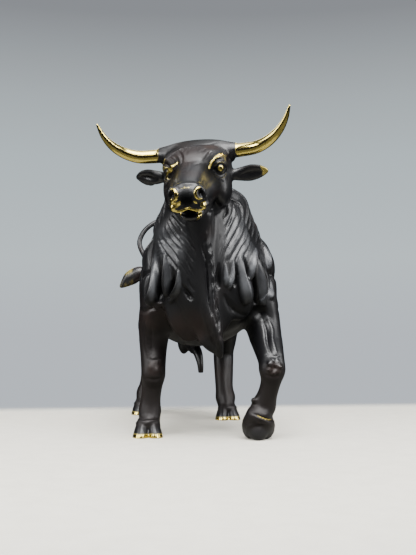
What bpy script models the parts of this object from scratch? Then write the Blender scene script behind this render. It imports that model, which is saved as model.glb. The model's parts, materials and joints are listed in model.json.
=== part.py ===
"""A fighting bull at a walk, cast in bronze in one piece, with the left fore hoof on its toe.

The form is built up as a modeller builds it in clay: simple masses for the barrel, the
muscles, the head and the legs are laid over each other, fused into one skin, and then
worked with strokes that follow the surface. It faces -Y, its left side is +X, and it
stands on Z = 0.
"""

import math

import bmesh
import bpy
import numpy as np
from mathutils import Matrix, Vector
from mathutils.bvhtree import BVHTree

# Driving sizes, in metres.
POLL_HEIGHT = 0.250  # ground to the top of the head, between the horns
HORN_ROOT = 0.0118  # a horn's thickness where it leaves the head
HORN_TIP = 0.0022
EAR_LENGTH = 0.031
TAIL_THICK = 0.0060
HOOF_WIDTH = 0.0245  # both claws together, at the ground
HOOF_HEIGHT = 0.0135
LEG_THICK = 0.0150  # a cannon bone, the thinnest part of a leg
SKIN_GRAIN = 0.0009  # size of the cells that fuse the masses
FACETS = 9500  # triangles in the finished cast

# The pose and the proportions are shares of the poll's height: one unit of the places
# below is a twenty-fifth of it, which is 10 mm on this cast.
U = POLL_HEIGHT / 25
PATINA = (0.018, 0.017, 0.018, 1.0)

GROUND = 0.3  # height at which the soles are cut flat, in units

# How far the fused masses are softened into each other, in units.
SOFT_BODY, SOFT_LEG, SOFT_HEAD, SOFT_FINE = 0.40, 0.17, 0.15, 0.06

# The head's own frame: the middle of the poll, and how far the head is turned to the
# bull's right, bowed, and tipped over to the right.
POLL = Vector((-1.4, -4.7, 25.0))
HEAD_TURN, HEAD_BOW, HEAD_TIP = -15.0, 28.5, -2.5


def head_frame():
    turn = Matrix.Rotation(math.radians(HEAD_TURN), 4, "Z")
    bow = Matrix.Rotation(math.radians(HEAD_BOW), 4, "X")
    tip = Matrix.Rotation(math.radians(HEAD_TIP), 4, "Y")
    return Matrix.Translation(POLL) @ turn @ bow @ tip


HEAD = head_frame()
HERE = Matrix.Identity(4)


# Clay: each mass is made on its own by a bmesh operator and joined to the rest.


def frame_along(place, along, facing):
    """A frame at place with its Z along one direction and its Y as near facing as it can be."""
    z = Vector(along).normalized()
    x = Vector(facing).cross(z).normalized()
    y = z.cross(x)
    return Matrix.Translation(place) @ Matrix((x, y, z)).transposed().to_4x4()


def join(clay, piece):
    bmesh.ops.recalc_face_normals(piece, faces=piece.faces)
    mesh = bpy.data.meshes.new("piece")
    piece.to_mesh(mesh)
    piece.free()
    clay.from_mesh(mesh)
    bpy.data.meshes.remove(mesh)


def ball(clay, place, radii, frame=HERE):
    piece = bmesh.new()
    place = frame @ Matrix.Translation(place) @ Matrix.Diagonal((*radii, 1.0))
    bmesh.ops.create_uvsphere(piece, u_segments=24, v_segments=14, radius=1.0, matrix=place)
    join(clay, piece)


def muscle(clay, start, end, wide, thick, facing, frame=HERE):
    """A spindle from start to end: half its width across facing, half its thickness along it."""
    start, end = Vector(start), Vector(end)
    lie = frame_along((start + end) / 2, end - start, facing)
    size = (wide, thick, (end - start).length / 2)
    ball(clay, (0, 0, 0), size, frame @ lie)


def smooth_rows(rows, per_span):
    """Rows of numbers read along a smooth curve through the given rows."""
    rows = np.array([rows[0], *rows, rows[-1]], float)
    out = []
    for a, b, c, d in zip(rows, rows[1:], rows[2:], rows[3:]):
        for t in np.arange(per_span) / per_span:
            bend = (2 * a - 5 * b + 4 * c - d) * t**2 + (3 * b - a - 3 * c + d) * t**3
            out.append(b + 0.5 * ((c - a) * t + bend))
    return np.array([*out, rows[-2]])


def limb(clay, rows, facing, per_span=5, frame=HERE, around=20):
    """A tube through rows of x, y, z, half width and half depth. Its depth lies along facing."""
    rows = smooth_rows(rows, per_span)
    places = [Vector(row[:3]) for row in rows]
    ways = [(b - a).normalized() for a, b in zip(places, places[1:])]
    ways = [ways[0]] + [a + b for a, b in zip(ways, ways[1:])] + [ways[-1]]
    rings = [
        frame @ frame_along(place, way, facing) @ Matrix.Diagonal((row[3], row[4], 1.0, 1.0))
        for place, way, row in zip(places, ways, rows)
    ]
    tube = bmesh.new()
    start = bmesh.ops.create_circle(tube, cap_ends=True, radius=1.0, segments=around, matrix=rings[0])
    edges = list({edge for vert in start["verts"] for edge in vert.link_edges})
    for before, after in zip(rings, rings[1:]):
        grown = bmesh.ops.extrude_edge_only(tube, edges=edges)["geom"]
        verts = [item for item in grown if isinstance(item, bmesh.types.BMVert)]
        edges = [item for item in grown if isinstance(item, bmesh.types.BMEdge)]
        bmesh.ops.transform(tube, matrix=after @ before.inverted(), verts=verts)
    bmesh.ops.contextual_create(tube, geom=edges)
    join(clay, tube)


# The masses, in units.


def barrel(clay):
    """Chest, ribs, belly, loins and rump, each row a section of the trunk."""
    sections = (
        # x, y, z of the section's middle, half width, half depth
        (0.0, -4.3, 12.4, 2.4, 2.2),
        (0.0, -3.5, 12.8, 3.9, 4.2),
        (0.0, -1.6, 13.6, 5.0, 5.35),
        (0.0, 1.5, 14.1, 5.4, 6.0),
        (0.0, 5.0, 13.9, 5.6, 5.95),
        (0.0, 9.0, 13.5, 5.5, 5.55),
        (0.0, 13.0, 13.5, 4.9, 5.1),
        (0.0, 16.0, 14.1, 4.2, 4.5),
        (0.0, 19.0, 14.8, 3.5, 3.8),
        (0.0, 20.9, 15.0, 2.3, 2.8),
    )
    limb(clay, sections, facing=(0, 0, 1), around=48)
    # The withers and the spine make a ridge along the back.
    spine = (
        (0, -0.5, 19.6, 1.9, 1.3),
        (0, 4, 19.4, 1.5, 1.0),
        (0, 10, 18.3, 1.2, 0.7),
        (0, 15.5, 18.0, 1.7, 0.75),
        (0, 20.5, 17.3, 1.1, 0.8),
    )
    limb(clay, spine, facing=(0, 0, 1))


def neck(clay):
    """The heavy crested neck from the shoulders to the back of the head."""
    sections = (
        (0.0, 3.0, 15.3, 4.9, 4.8),
        (0.0, 0.5, 16.4, 5.0, 5.2),
        (-0.57, -1.8, 18.0, 3.86, 4.7),
        (-1.37, -3.4, 19.8, 2.62, 3.9),
        (-1.5, -5.2, 21.4, 2.4, 2.9),
    )
    limb(clay, sections, facing=(0, -0.6, 1), around=40)
    crest = (
        (0.0, 5.5, 18.7, 1.6, 1.2),
        (-0.1, 2.2, 20.2, 2.0, 1.6),
        (-0.55, -0.8, 21.7, 1.85, 1.8),
        (-1.1, -3.0, 22.6, 2.0, 1.6),
        (-1.35, -4.4, 23.1, 2.0, 1.2),
    )
    limb(clay, crest, facing=(0, 0, 1))
    # The dewlap hangs from the throat to the brisket as one deep keel.
    keel = (
        (-1.6, -6.7, 18.8, 1.2, 0.9),
        (-1.3, -5.8, 17.0, 1.1, 1.2),
        (-0.95, -5.3, 15.0, 0.9, 1.3),
        (-0.65, -5.1, 12.5, 0.7, 1.3),
        (-0.3, -5.0, 10.2, 0.6, 1.4),
        (0.2, -4.6, 8.6, 0.5, 1.2),
        (0.45, -4.0, 7.4, 0.35, 0.75),
    )
    limb(clay, keel, facing=(0, -1, 0))
    muscle(clay, (0.45, -4.5, 8.2), (0.1, -0.6, 8.7), 0.45, 0.95, (0, 0, 1))
    muscle(clay, (-1.5, -4.2, 9.9), (0.5, -4.2, 7.5), 0.75, 0.5, (0, -1, 0))
    # Behind the keel the throat and the breast fall away to both sides like a ship's bow.
    muscle(clay, (-1.5, -5.0, 21.0), (-0.1, -3.7, 8.4), 2.8, 1.75, (0, -1, 0))
    for side in (-1, 1):
        top, foot = (side * 1.9 - 1.1, -4.9, 20.4), (side * 3.6 - 0.2, -3.4, 13.4)
        muscle(clay, top, foot, 1.4, 0.7, (side, -0.9, 0))


def shoulders(clay):
    for side in (-1, 1):
        # Shoulder blade, upper arm and the heads of the triceps.
        muscle(clay, (side * 2.85, 3.6, 20.1), (side * 5.0, -2.2, 12.4), 2.4, 0.9, (side, -0.25, 0.15))
        muscle(clay, (side * 4.4, 4.8, 17.0), (side * 5.0, 1.2, 9.6), 2.0, 1.05, (side, 0.2, 0))
        out = 0.18 + 0.18 * side
        top, middle, foot = 4.3 + 0.7 * out, 5.1 + out, 4.9 + out
        muscle(clay, (side * top, -0.2, 17.6), (side * middle, -0.6, 13.4), 1.5, 0.85, (side, -0.3, 0))
        muscle(clay, (side * foot, -0.4, 15.2), (side * foot, -0.3, 10.6), 1.5, 0.95, (side, -0.2, 0))
        ball(clay, (side * (4.65 + out / 2), 0.4, 10.4), (0.9, 1.7, 1.7))
        # Cords over the point of the shoulder.
        muscle(clay, (side * 4.3, -2.0, 16.0), (side * 4.6, -2.5, 10.8), 0.75, 0.75, (side * 0.7, -1, 0))
        muscle(clay, (side * 3.3, -2.9, 16.2), (side * 3.6, -3.4, 11.6), 0.8, 0.7, (side * 0.5, -1, 0))
    # The breast: a full lobe on the left, slung over the lifted leg, and a flat one on the right.
    muscle(clay, (1.5, -4.1, 15.8), (2.3, -3.4, 10.1), 1.75, 1.15, (0.3, -1, 0))
    muscle(clay, (-1.8, -3.8, 15.4), (-1.9, -2.9, 8.4), 2.3, 0.95, (-0.3, -1, 0))


def haunches(clay):
    for side in (-1, 1):
        ball(clay, (side * 2.9, 14.3, 17.0), (1.1, 1.7, 1.1))
        muscle(clay, (side * 2.5, 17.2, 18.3), (side * 3.6, 15.6, 9.2), 3.1, 1.5, (side, 0.15, 0))
        muscle(clay, (side * 1.9, 20.0, 17.6), (side * 3.1, 18.6, 9.4), 1.8, 1.3, (side, 0.8, 0))
        muscle(clay, (side * 3.2, 13.8, 16.4), (side * 3.7, 13.4, 9.8), 1.6, 1.1, (side, -0.3, 0))
        ball(clay, (side * 1.5, 20.5, 16.5), (0.9, 0.9, 1.1))


def leg(clay, rows, facing=(0, -1, 0)):
    """One leg, from inside the trunk to the top of the hoof. Widths are in cannon bones."""
    bone = LEG_THICK / U / 2
    rows = [(x, y, z, wide * bone, deep * bone) for x, y, z, wide, deep in rows]
    limb(clay, rows, facing, per_span=6)


def hoof(clay, frame):
    """Two claws side by side under the pastern. The frame's origin is the middle of the sole."""
    half = HOOF_WIDTH / U / 4
    high = HOOF_HEIGHT / U
    for side in (-1, 1):
        claw = (
            (side * half * 1.10, -0.30, -0.30, half * 1.24, 1.22),
            (side * half * 1.00, -0.24, high * 0.3, half * 1.10, 1.12),
            (side * half * 0.82, -0.02, high * 0.8, half * 0.92, 0.90),
            (side * half * 0.62, 0.20, high * 1.3, half * 0.76, 0.64),
        )
        limb(clay, claw, facing=(0, -1, 0), frame=frame)
        # The coronet, and the dewclaws behind the pastern.
        ball(clay, (0, 0.05, high * 1.05), (half * 1.62, 0.94, 0.60), frame)
        ball(clay, (side * half * 0.6, 0.95, high * 1.5), (0.28, 0.3, 0.34), frame)


def forelegs(clay):
    # The right one stands.
    leg(clay, (
        (-4.2, 0.2, 12.0, 2.2, 3.0),
        (-4.5, 1.0, 9.8, 1.95, 2.5),
        (-4.6, 0.9, 7.8, 1.6, 1.75),
        (-4.62, 0.3, 6.2, 1.42, 1.42),
        (-4.65, 0.2, 5.5, 1.42, 1.38),
        (-4.72, 0.5, 4.6, 1.20, 1.16),
        (-4.83, 0.7, 3.4, 1.17, 1.16),
        (-4.9, 0.75, 2.4, 1.36, 1.36),
        (-4.93, 0.45, 1.7, 1.2, 1.22),
        (-4.95, 0.2, 1.1, 1.3, 1.4),
    ))
    hoof(clay, Matrix.Translation((-5.12, 0.1, 0)))
    # The left one is bent at the knee, with the hoof hanging on its toe.
    leg(clay, (
        (4.4, -0.8, 12.0, 2.3, 3.0),
        (4.8, -1.0, 9.8, 2.05, 2.6),
        (4.9, -2.4, 8.2, 1.75, 1.9),
        (4.9, -3.8, 6.9, 1.5, 1.5),
        (4.9, -4.1, 6.0, 1.5, 1.45),
        (4.82, -3.9, 5.1, 1.14, 1.15),
        (4.6, -3.5, 4.0, 1.14, 1.12),
        (4.4, -3.1, 3.15, 1.42, 1.36),
        (4.2, -3.0, 2.5, 1.3, 1.2),
        (4.1, -3.0, 2.1, 1.4, 1.3),
    ))
    hang = Matrix.Rotation(math.radians(-12), 4, "Z") @ Matrix.Rotation(math.radians(58), 4, "X")
    toe = Matrix.Translation((4.04, -2.5, 1.70)) @ hang
    hoof(clay, toe)
    ball(clay, (0, -0.22, 0.42), (1.1, 1.68, 0.9), toe)


def hindlegs(clay):
    # The left one is under the body, the right one stretched out behind.
    leg(clay, (
        (2.6, 16.2, 12.8, 1.8, 3.0),
        (3.7, 14.6, 10.4, 2.1, 3.3),
        (3.95, 15.0, 8.8, 1.7, 2.1),
        (3.95, 15.8, 7.4, 1.48, 1.6),
        (3.93, 15.7, 6.4, 1.44, 1.4),
        (3.88, 15.2, 4.8, 1.34, 1.2),
        (3.82, 14.5, 3.4, 1.26, 1.16),
        (3.88, 14.1, 2.45, 1.42, 1.36),
        (3.9, 13.75, 1.75, 1.18, 1.24),
        (3.95, 13.5, 1.1, 1.25, 1.36),
    ))
    ball(clay, (3.7, 16.7, 8.2), (0.5, 0.5, 0.95))
    hoof(clay, Matrix.Translation((3.95, 13.35, 0)))
    leg(clay, (
        (-2.6, 17.0, 12.8, 1.8, 3.0),
        (-3.7, 17.0, 10.4, 2.0, 3.2),
        (-3.8, 18.6, 8.9, 1.4, 2.0),
        (-3.92, 19.8, 7.6, 1.2, 1.6),
        (-3.93, 20.3, 6.5, 1.05, 1.35),
        (-3.9, 20.5, 4.8, 0.98, 1.1),
        (-4.0, 20.6, 3.6, 1.02, 1.12),
        (-4.15, 20.7, 2.6, 1.32, 1.34),
        (-4.28, 20.45, 1.8, 1.18, 1.24),
        (-4.38, 20.2, 1.1, 1.25, 1.36),
    ))
    ball(clay, (-3.85, 20.8, 8.3), (0.5, 0.5, 0.95))
    hoof(clay, Matrix.Translation((-4.4, 20.05, 0)))


def underside(clay):
    """Scrotum between the thighs, and the sheath hanging under the belly."""
    for side in (-1, 1):
        ball(clay, (0.3 + side * 0.5, 17.0, 8.4), (0.72, 0.8, 1.45))
    muscle(clay, (0, 16.6, 11.5), (0, 17.0, 8.0), 0.9, 0.9, (0, -1, 0))
    sheath = (
        (0.0, 14.0, 8.7, 0.6, 0.6),
        (0.0, 11.5, 7.95, 0.6, 0.55),
        (0.35, 9.8, 7.4, 0.5, 0.5),
        (0.55, 9.0, 6.3, 0.34, 0.4),
        (0.6, 8.8, 5.3, 0.26, 0.3),
    )
    limb(clay, sheath, facing=(0, 1, -0.5))


def tail(clay):
    """Up from the rump, over to the right in one loop, and out again in a brush."""
    r = TAIL_THICK / U / 2
    run = (
        (0.0, 19.6, 17.4, 1.3 * r, 1.3 * r),
        (0.0, 21.3, 18.4, 1.9 * r, 1.9 * r),
        (-0.1, 22.3, 19.9, 1.35 * r, 1.35 * r),
        (-0.7, 22.8, 21.5, 1.1 * r, 1.1 * r),
        (-2.2, 23.1, 22.3, r, r),
        (-3.9, 23.2, 21.4, r, r),
        (-4.75, 23.1, 19.8, r, r),
        (-4.3, 22.9, 18.3, r, r),
        (-3.6, 22.8, 17.2, r, r),
        (-3.7, 22.9, 16.4, 1.3 * r, 1.3 * r),
        (-4.7, 23.1, 16.2, 2.6 * r, 2.4 * r),
        (-5.7, 23.3, 15.6, 2.9 * r, 2.3 * r),
        (-6.5, 23.5, 14.9, 1.6 * r, 1.3 * r),
        (-6.95, 23.6, 14.5, 0.5 * r, 0.5 * r),
    )
    limb(clay, run, facing=(0, 1, 0), per_span=6)


def head(clay):
    """The skull, jaw, muzzle and eyes, in the head's own frame: the nose runs along -Y."""

    def lump(place, radii):
        ball(clay, place, radii, HEAD)

    def bar(rows):
        limb(clay, rows, (0, 0, 1), frame=HEAD)

    lump((0.1, -1.7, -2.2), (2.8, 2.7, 2.15))
    # The poll, a flat-topped bar from horn to horn, and the forehead under it.
    bar((
        (-3.1, -0.8, -0.92, 0.75, 0.8),
        (-1.6, -0.6, -0.75, 1.0, 0.85),
        (0, -0.5, -0.68, 1.15, 0.85),
        (1.6, -0.6, -0.75, 1.0, 0.85),
        (3.1, -0.8, -0.92, 0.75, 0.8),
    ))
    lump((0, -2.0, -0.9), (2.65, 2.6, 1.0))
    bar((
        (0, -2.6, -1.15, 1.9, 0.95),
        (0, -5.0, -1.35, 1.3, 0.8),
        (0, -7.2, -1.68, 1.08, 0.76),
        (0, -8.2, -1.85, 0.95, 0.66),
    ))
    bar((
        (0, -2.6, -2.7, 2.4, 1.6),
        (0, -4.6, -2.5, 2.15, 1.6),
        (0, -6.2, -2.5, 1.72, 1.45),
        (0, -7.4, -2.45, 1.42, 1.1),
    ))
    # The muzzle, its upper lip, the jaw and the chin.
    lump((0, -7.9, -2.1), (1.42, 0.95, 1.1))
    lump((0, -7.85, -2.8), (1.62, 0.88, 0.62))
    bar(((0, -2.4, -4.0, 1.7, 1.2), (0, -5.2, -3.85, 1.2, 0.8), (0, -7.4, -3.65, 0.95, 0.6)))
    lump((0, -7.3, -3.75), (0.95, 0.75, 0.6))
    for side in (-1, 1):
        lump((side * 1.95, -2.9, -1.3), (0.72, 1.1, 0.85))
        lump((side * 2.0, -2.7, -3.2), (0.8, 2.0, 1.6))
        lump((side * 0.95, -8.2, -1.8), (0.55, 0.6, 0.6))


def horns(clay):
    root, tip = HORN_ROOT / U / 2, HORN_TIP / U / 2
    curve = (
        # out from the middle of the head, forward, up, share of the way from root to tip thickness
        (2.2, -0.85, -0.8, 0.0),
        (3.6, -0.9, -0.78, 0.04),
        (4.9, -1.1, -0.62, 0.12),
        (5.95, -1.4, -0.1, 0.26),
        (6.8, -1.7, 0.68, 0.47),
        (7.4, -1.8, 1.6, 0.72),
        (7.8, -1.75, 2.65, 1.0),
    )
    for side in (-1, 1):
        # The left horn carries a little higher than the right.
        lift = side * 0.035
        thick = [root + (tip - root) * row[3] for row in curve]
        rows = [(side * x, y, z + lift * (x - 3), r, r) for (x, y, z, _), r in zip(curve, thick)]
        limb(clay, rows, facing=(0, -1, 0), per_span=6, frame=HEAD)


def ears(clay):
    """Each ear is a leaf, hollowed on its front face by the strokes that follow."""
    leaf = (
        # share of the way to the tip, half width, half thickness
        (0, 0.45, 0.42),
        (0.25, 0.66, 0.36),
        (0.5, 0.84, 0.28),
        (0.75, 0.70, 0.24),
        (0.93, 0.36, 0.18),
        (1.0, 0.15, 0.12),
    )
    for side in (-1, 1):
        root = Vector((side * 2.75, -1.9, -2.42 - side * 0.1))
        way = Vector((side * 0.92, 0.3, -0.04)).normalized() * EAR_LENGTH / U * (1 if side > 0 else 0.88)
        rows = [(*(root + way * along), wide, thick) for along, wide, thick in leaf]
        limb(clay, rows, facing=(0, -1, -0.35), frame=HEAD)


# Skin.


def fused(grain):
    """All the masses as one closed skin of even cells."""
    clay = bmesh.new()
    trunk = (barrel, neck, shoulders, haunches, forelegs, hindlegs, underside, tail)
    for build in trunk + (head, horns, ears):
        build(clay)
    mesh = bpy.data.meshes.new("clay")
    clay.to_mesh(mesh)
    clay.free()
    lump = bpy.data.objects.new("clay", mesh)
    bpy.context.scene.collection.objects.link(lump)
    cells = lump.modifiers.new("fuse", "REMESH")
    cells.mode = "VOXEL"
    cells.voxel_size = grain
    cells.adaptivity = 0.0
    graph = bpy.context.evaluated_depsgraph_get()
    skin = bpy.data.meshes.new_from_object(lump.evaluated_get(graph))
    bpy.data.objects.remove(lump)
    return skin


def points_of(mesh):
    flat = np.empty(len(mesh.vertices) * 3, np.float32)
    mesh.vertices.foreach_get("co", flat)
    return flat.reshape(-1, 3).astype(float)


def put_points(mesh, points):
    mesh.vertices.foreach_set("co", points.astype(np.float32).ravel())
    mesh.update()


def normals_of(mesh):
    flat = np.empty(len(mesh.vertices) * 3, np.float32)
    mesh.vertex_normals.foreach_get("vector", flat)
    return flat.reshape(-1, 3).astype(float)


def in_frame(points, frame):
    """Points read in a frame's own axes."""
    back = np.array(frame.inverted())
    return points @ back[:3, :3].T + back[:3, 3]


def softness(points):
    """How far the skin is softened at each point, in units."""
    x, y, z = points.T
    soft = np.where(z < 8.6, SOFT_LEG, SOFT_BODY)
    u, v, w = in_frame(points, HEAD).T
    soft = np.where((v < 1.0) & (w > -5.2) & (y < -3.0) & (z > 17), SOFT_HEAD, soft)
    horn_or_ear = (np.abs(u) > 3.1) & (v < 1.6) & (w > -3.4) & (z > 19)
    fine = (z < 1.9) | horn_or_ear | (y > 21.8) | ((z < 7.2) & (np.abs(x) < 1.2))
    return np.where(fine, SOFT_FINE, soft)


def soften(mesh, amount, grain):
    """Move every point towards its neighbours, by an amount that is given for each."""
    pairs = np.empty(len(mesh.edges) * 2, np.int32)
    mesh.edges.foreach_get("vertices", pairs)
    first, second = pairs.reshape(-1, 2).T
    ends = np.concatenate([first, second])
    others = np.concatenate([second, first])
    points = points_of(mesh)
    count = np.bincount(ends, minlength=len(points))
    rounds = max(1, int(np.ceil((np.max(amount) / (0.5 * grain)) ** 2)))
    rate = 0.5 * (amount / np.max(amount)) ** 2
    rate = rate[:, None]
    for _ in range(rounds):
        around = np.stack([np.bincount(ends, points[others, k], len(points)) for k in range(3)], 1)
        points += rate * (around / count[:, None] - points)
    put_points(mesh, points)


# Strokes. Each is drawn flat from one side and laid on the skin, where it pushes points in or
# out along the skin's own normals.

# A side to draw from: which way is across, which is up, which is out, and how far out to start.
FRONT = (Vector((1, 0, 0)), Vector((0, 0, 1)), Vector((0, -1, 0)), 40)
THROAT = (*FRONT[:3], 7.2)
LEFT = (Vector((0, 1, 0)), Vector((0, 0, 1)), Vector((1, 0, 0)), 40)
RIGHT = (Vector((0, 1, 0)), Vector((0, 0, 1)), Vector((-1, 0, 0)), 40)


def head_side(across, up, out):
    """A side of the head to draw from, with its origin at the poll."""
    turn = HEAD.to_3x3()
    return (turn @ Vector(across), turn @ Vector(up), turn @ Vector(out), 14)


FACE = head_side((1, 0, 0), (0, 1, 0), (0, 0, 1))
NOSE = head_side((1, 0, 0), (0, 0, 1), (0, -1, 0))

# Sections of a stroke: how far it lifts the skin at places from one side to the other.
RIDGE = ((-1, -0.5, 0, 0.5, 1), (0, 0.45, 1, 0.45, 0))
GROOVE = ((-1, -0.5, 0, 0.5, 1), (0, -0.3, -1, -0.3, 0))
PIT = ((-1, -0.6, 0, 0.6, 1), (0, -0.85, -1, -0.85, 0))
LOBE = ((-1, -0.7, 0, 0.7, 1), (0, 0.6, 1, 0.6, 0))
FOLD = ((-1, -0.4, -0.1, 0.15, 0.4, 1), (0, -0.3, -0.55, 0.7, 0.8, 0))

# How far behind the nearest mark of a stroke another may lie.
SLIP = 2.6


# The face, drawn from the eye's side, from the nose and from above the forehead.
BROW = ((-1.0, 0.30), (-0.57, 0.72), (-0.10, 0.95), (0.50, 1.05), (0.85, 1.0))
UPPER_LID = ((-0.60, 0.12), (-0.30, 0.40), (0.07, 0.50), (0.42, 0.32), (0.62, -0.02))
LOWER_LID = ((-0.45, -0.02), (-0.25, -0.26), (0.08, -0.40), (0.40, -0.32), (0.60, -0.08))
LIP = (
    (-1.35, -2.95), (-0.80, -3.12), (-0.37, -2.97), (0.0, -2.82), (0.17, -2.83), (0.43, -2.97),
    (0.80, -3.15), (1.25, -2.98),
)
NOSTRIL = ((1.12, -1.34), (0.92, -1.32), (0.73, -1.52), (0.72, -1.8), (0.88, -2.08), (1.18, -2.16))
CORONET = ((3.15, 2.6), (3.6, 2.42), (4.4, 2.08), (5.3, 1.95))
FOREHEAD = (
    # half width, depth, marks
    (0.16, 0.14, ((-1.29, -2.6), (-0.90, -3.5), (-0.80, -4.1), (-0.86, -4.5))),
    (0.16, 0.14, ((-1.65, -3.1), (-1.24, -3.75), (-1.16, -4.2), (-1.26, -4.5))),
    (0.15, 0.12, ((-1.88, -3.2), (-1.52, -3.8), (-1.46, -4.3))),
    (0.10, 0.04, ((-0.13, -4.2), (0.02, -5.4), (-0.07, -6.4))),
    (0.11, 0.045, ((-0.80, -4.3), (-0.45, -4.4), (-0.14, -4.5))),
    (0.11, 0.045, ((-0.85, -4.9), (-0.5, -5.0), (-0.12, -5.1))),
    (0.11, 0.045, ((-0.72, -5.5), (-0.45, -5.6), (-0.14, -5.7))),
    (0.11, 0.04, ((-0.55, -6.1), (-0.3, -6.2), (-0.06, -6.3))),
    (0.12, 0.08, ((0.21, -5.0), (0.59, -4.65), (0.94, -4.3))),
    (0.17, 0.18, ((1.42, -2.9), (1.19, -3.6), (0.90, -4.25))),
    (0.14, 0.07, ((1.02, -2.4), (0.85, -2.8), (0.62, -3.3))),
    (0.12, 0.05, ((-0.6, -2.0), (-0.1, -1.8), (0.5, -1.9))),
)


class Skin:
    """A skin under the tool: its points, and the surface as it was when the pass began."""

    def __init__(self, mesh):
        self.mesh = mesh
        self.begin()

    def begin(self):
        self.points = points_of(self.mesh)
        self.normals = normals_of(self.mesh)
        self.lift = np.zeros(len(self.points))
        faces = np.empty(len(self.mesh.loops), np.int32)
        self.mesh.loops.foreach_get("vertex_index", faces)
        corners = len(faces) // len(self.mesh.polygons)
        self.tree = BVHTree.FromPolygons(self.points.tolist(), faces.reshape(-1, corners).tolist())

    def finish(self):
        put_points(self.mesh, self.points + self.normals * self.lift[:, None])

    def lay(self, marks, view, origin=Vector()):
        """Marks drawn flat, as places and normals on the skin."""
        across, up, out, reach = view
        found = []
        for u, v in smooth_rows(marks, 6):
            hit, normal, _, _ = self.tree.ray_cast(origin + across * u + up * v + out * reach, -out)
            if hit is not None:
                found.append((*hit, *normal))
        # A mark that slips off an edge lands far behind the others.
        near = max((Vector(place[:3]).dot(out) for place in found), default=0.0) - SLIP
        return np.array([place for place in found if Vector(place[:3]).dot(out) > near])

    def stroke(self, marks, view, wide, high, section=RIDGE, origin=Vector(), blunt=0.0, lean=1.0):
        """One stroke of a half width and a height, tapering at both ends unless blunt.

        Lean above 1 puts its fullest part nearer the end.
        """
        laid = self.lay(marks, view, origin)
        if len(laid) < 2:
            return
        places, normals = laid[:, :3], laid[:, 3:]
        steps = places[1:] - places[:-1]
        lengths = np.linalg.norm(steps, axis=1) + 1e-9
        start = np.concatenate([[0], np.cumsum(lengths)])
        near = np.all((self.points > places.min(0) - wide) & (self.points < places.max(0) + wide), axis=1)
        near = np.nonzero(near)[0]
        best = np.full(len(near), 1e9)
        side = np.zeros(len(near))
        along = np.zeros(len(near))
        facing = np.zeros(len(near))
        hand = 1.0 if view[0].cross(view[1]).dot(view[2]) > 0 else -1.0
        for i, step in enumerate(steps):
            away = self.points[near] - places[i]
            share = np.clip(away @ step / lengths[i] ** 2, 0, 1)
            gap = away - share[:, None] * step
            far = np.linalg.norm(gap, axis=1)
            left = np.cross(normals[i], step / lengths[i])
            closer = far < best
            best = np.where(closer, far, best)
            side = np.where(closer, np.sign(gap @ left) * hand, side)
            along = np.where(closer, start[i] + share * lengths[i], along)
            facing = np.where(closer, self.normals[near] @ normals[i], facing)
        share = along / start[-1]
        taper = np.sqrt(np.clip(np.sin(np.pi * share**lean), 0, 1)) * (1 - blunt) + blunt
        spread = wide * (0.35 + 0.65 * taper)
        lift = np.interp(side * best / spread, *section) * high * taper
        self.lift[near] += np.where((best < spread) & (facing > 0.2), lift, 0)

    def comb(self, first, last, count, view, wide, high, section=RIDGE, origin=Vector(), sway=0.0):
        """Strokes side by side, running evenly from the first set of marks to the last."""
        first, last = np.array(first, float), np.array(last, float)
        for i, t in enumerate(np.linspace(0, 1, count)):
            marks = first + (last - first) * t
            marks = marks + sway * np.sin(2.4 * i + np.arange(len(marks)))[:, None]
            self.stroke(marks, view, wide * (1 + 0.25 * math.sin(1.9 * i)), high, section, origin)

    def dab(self, place, view, radii, high, origin=Vector(), power=2.0):
        """One round push, in or out."""
        across, up, out, reach = view
        start = origin + across * place[0] + up * place[1] + out * reach
        hit, _, _, _ = self.tree.ray_cast(start, -out)
        if hit is None:
            return
        away = self.points - np.array(hit)
        u, v, w = (away @ np.array(way) for way in view[:3])
        far = np.sqrt((u / radii[0]) ** 2 + (v / radii[1]) ** 2)
        inside = (far < 1) & (np.abs(w) < 1.5) & (self.normals @ np.array(out) > 0.0)
        self.lift += np.where(inside, high * np.clip(1 - far**2, 0, 1) ** power, 0)


def strands(skin, lines, view, wide, deep, swell):
    """A dark crease along each line, and the skin between two creases swelling a little."""
    for line in lines:
        skin.stroke(line, view, wide, deep, GROOVE)
    for before, after in zip(lines, lines[1:]):
        share = np.linspace(0, 1, 4)
        ends = [smooth_rows(line, 8) for line in (before, after)]
        between = [np.mean([end[int(t * (len(end) - 1))] for end in ends], 0) for t in share]
        skin.stroke(between, view, 1.5 * wide, swell, RIDGE)


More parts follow.
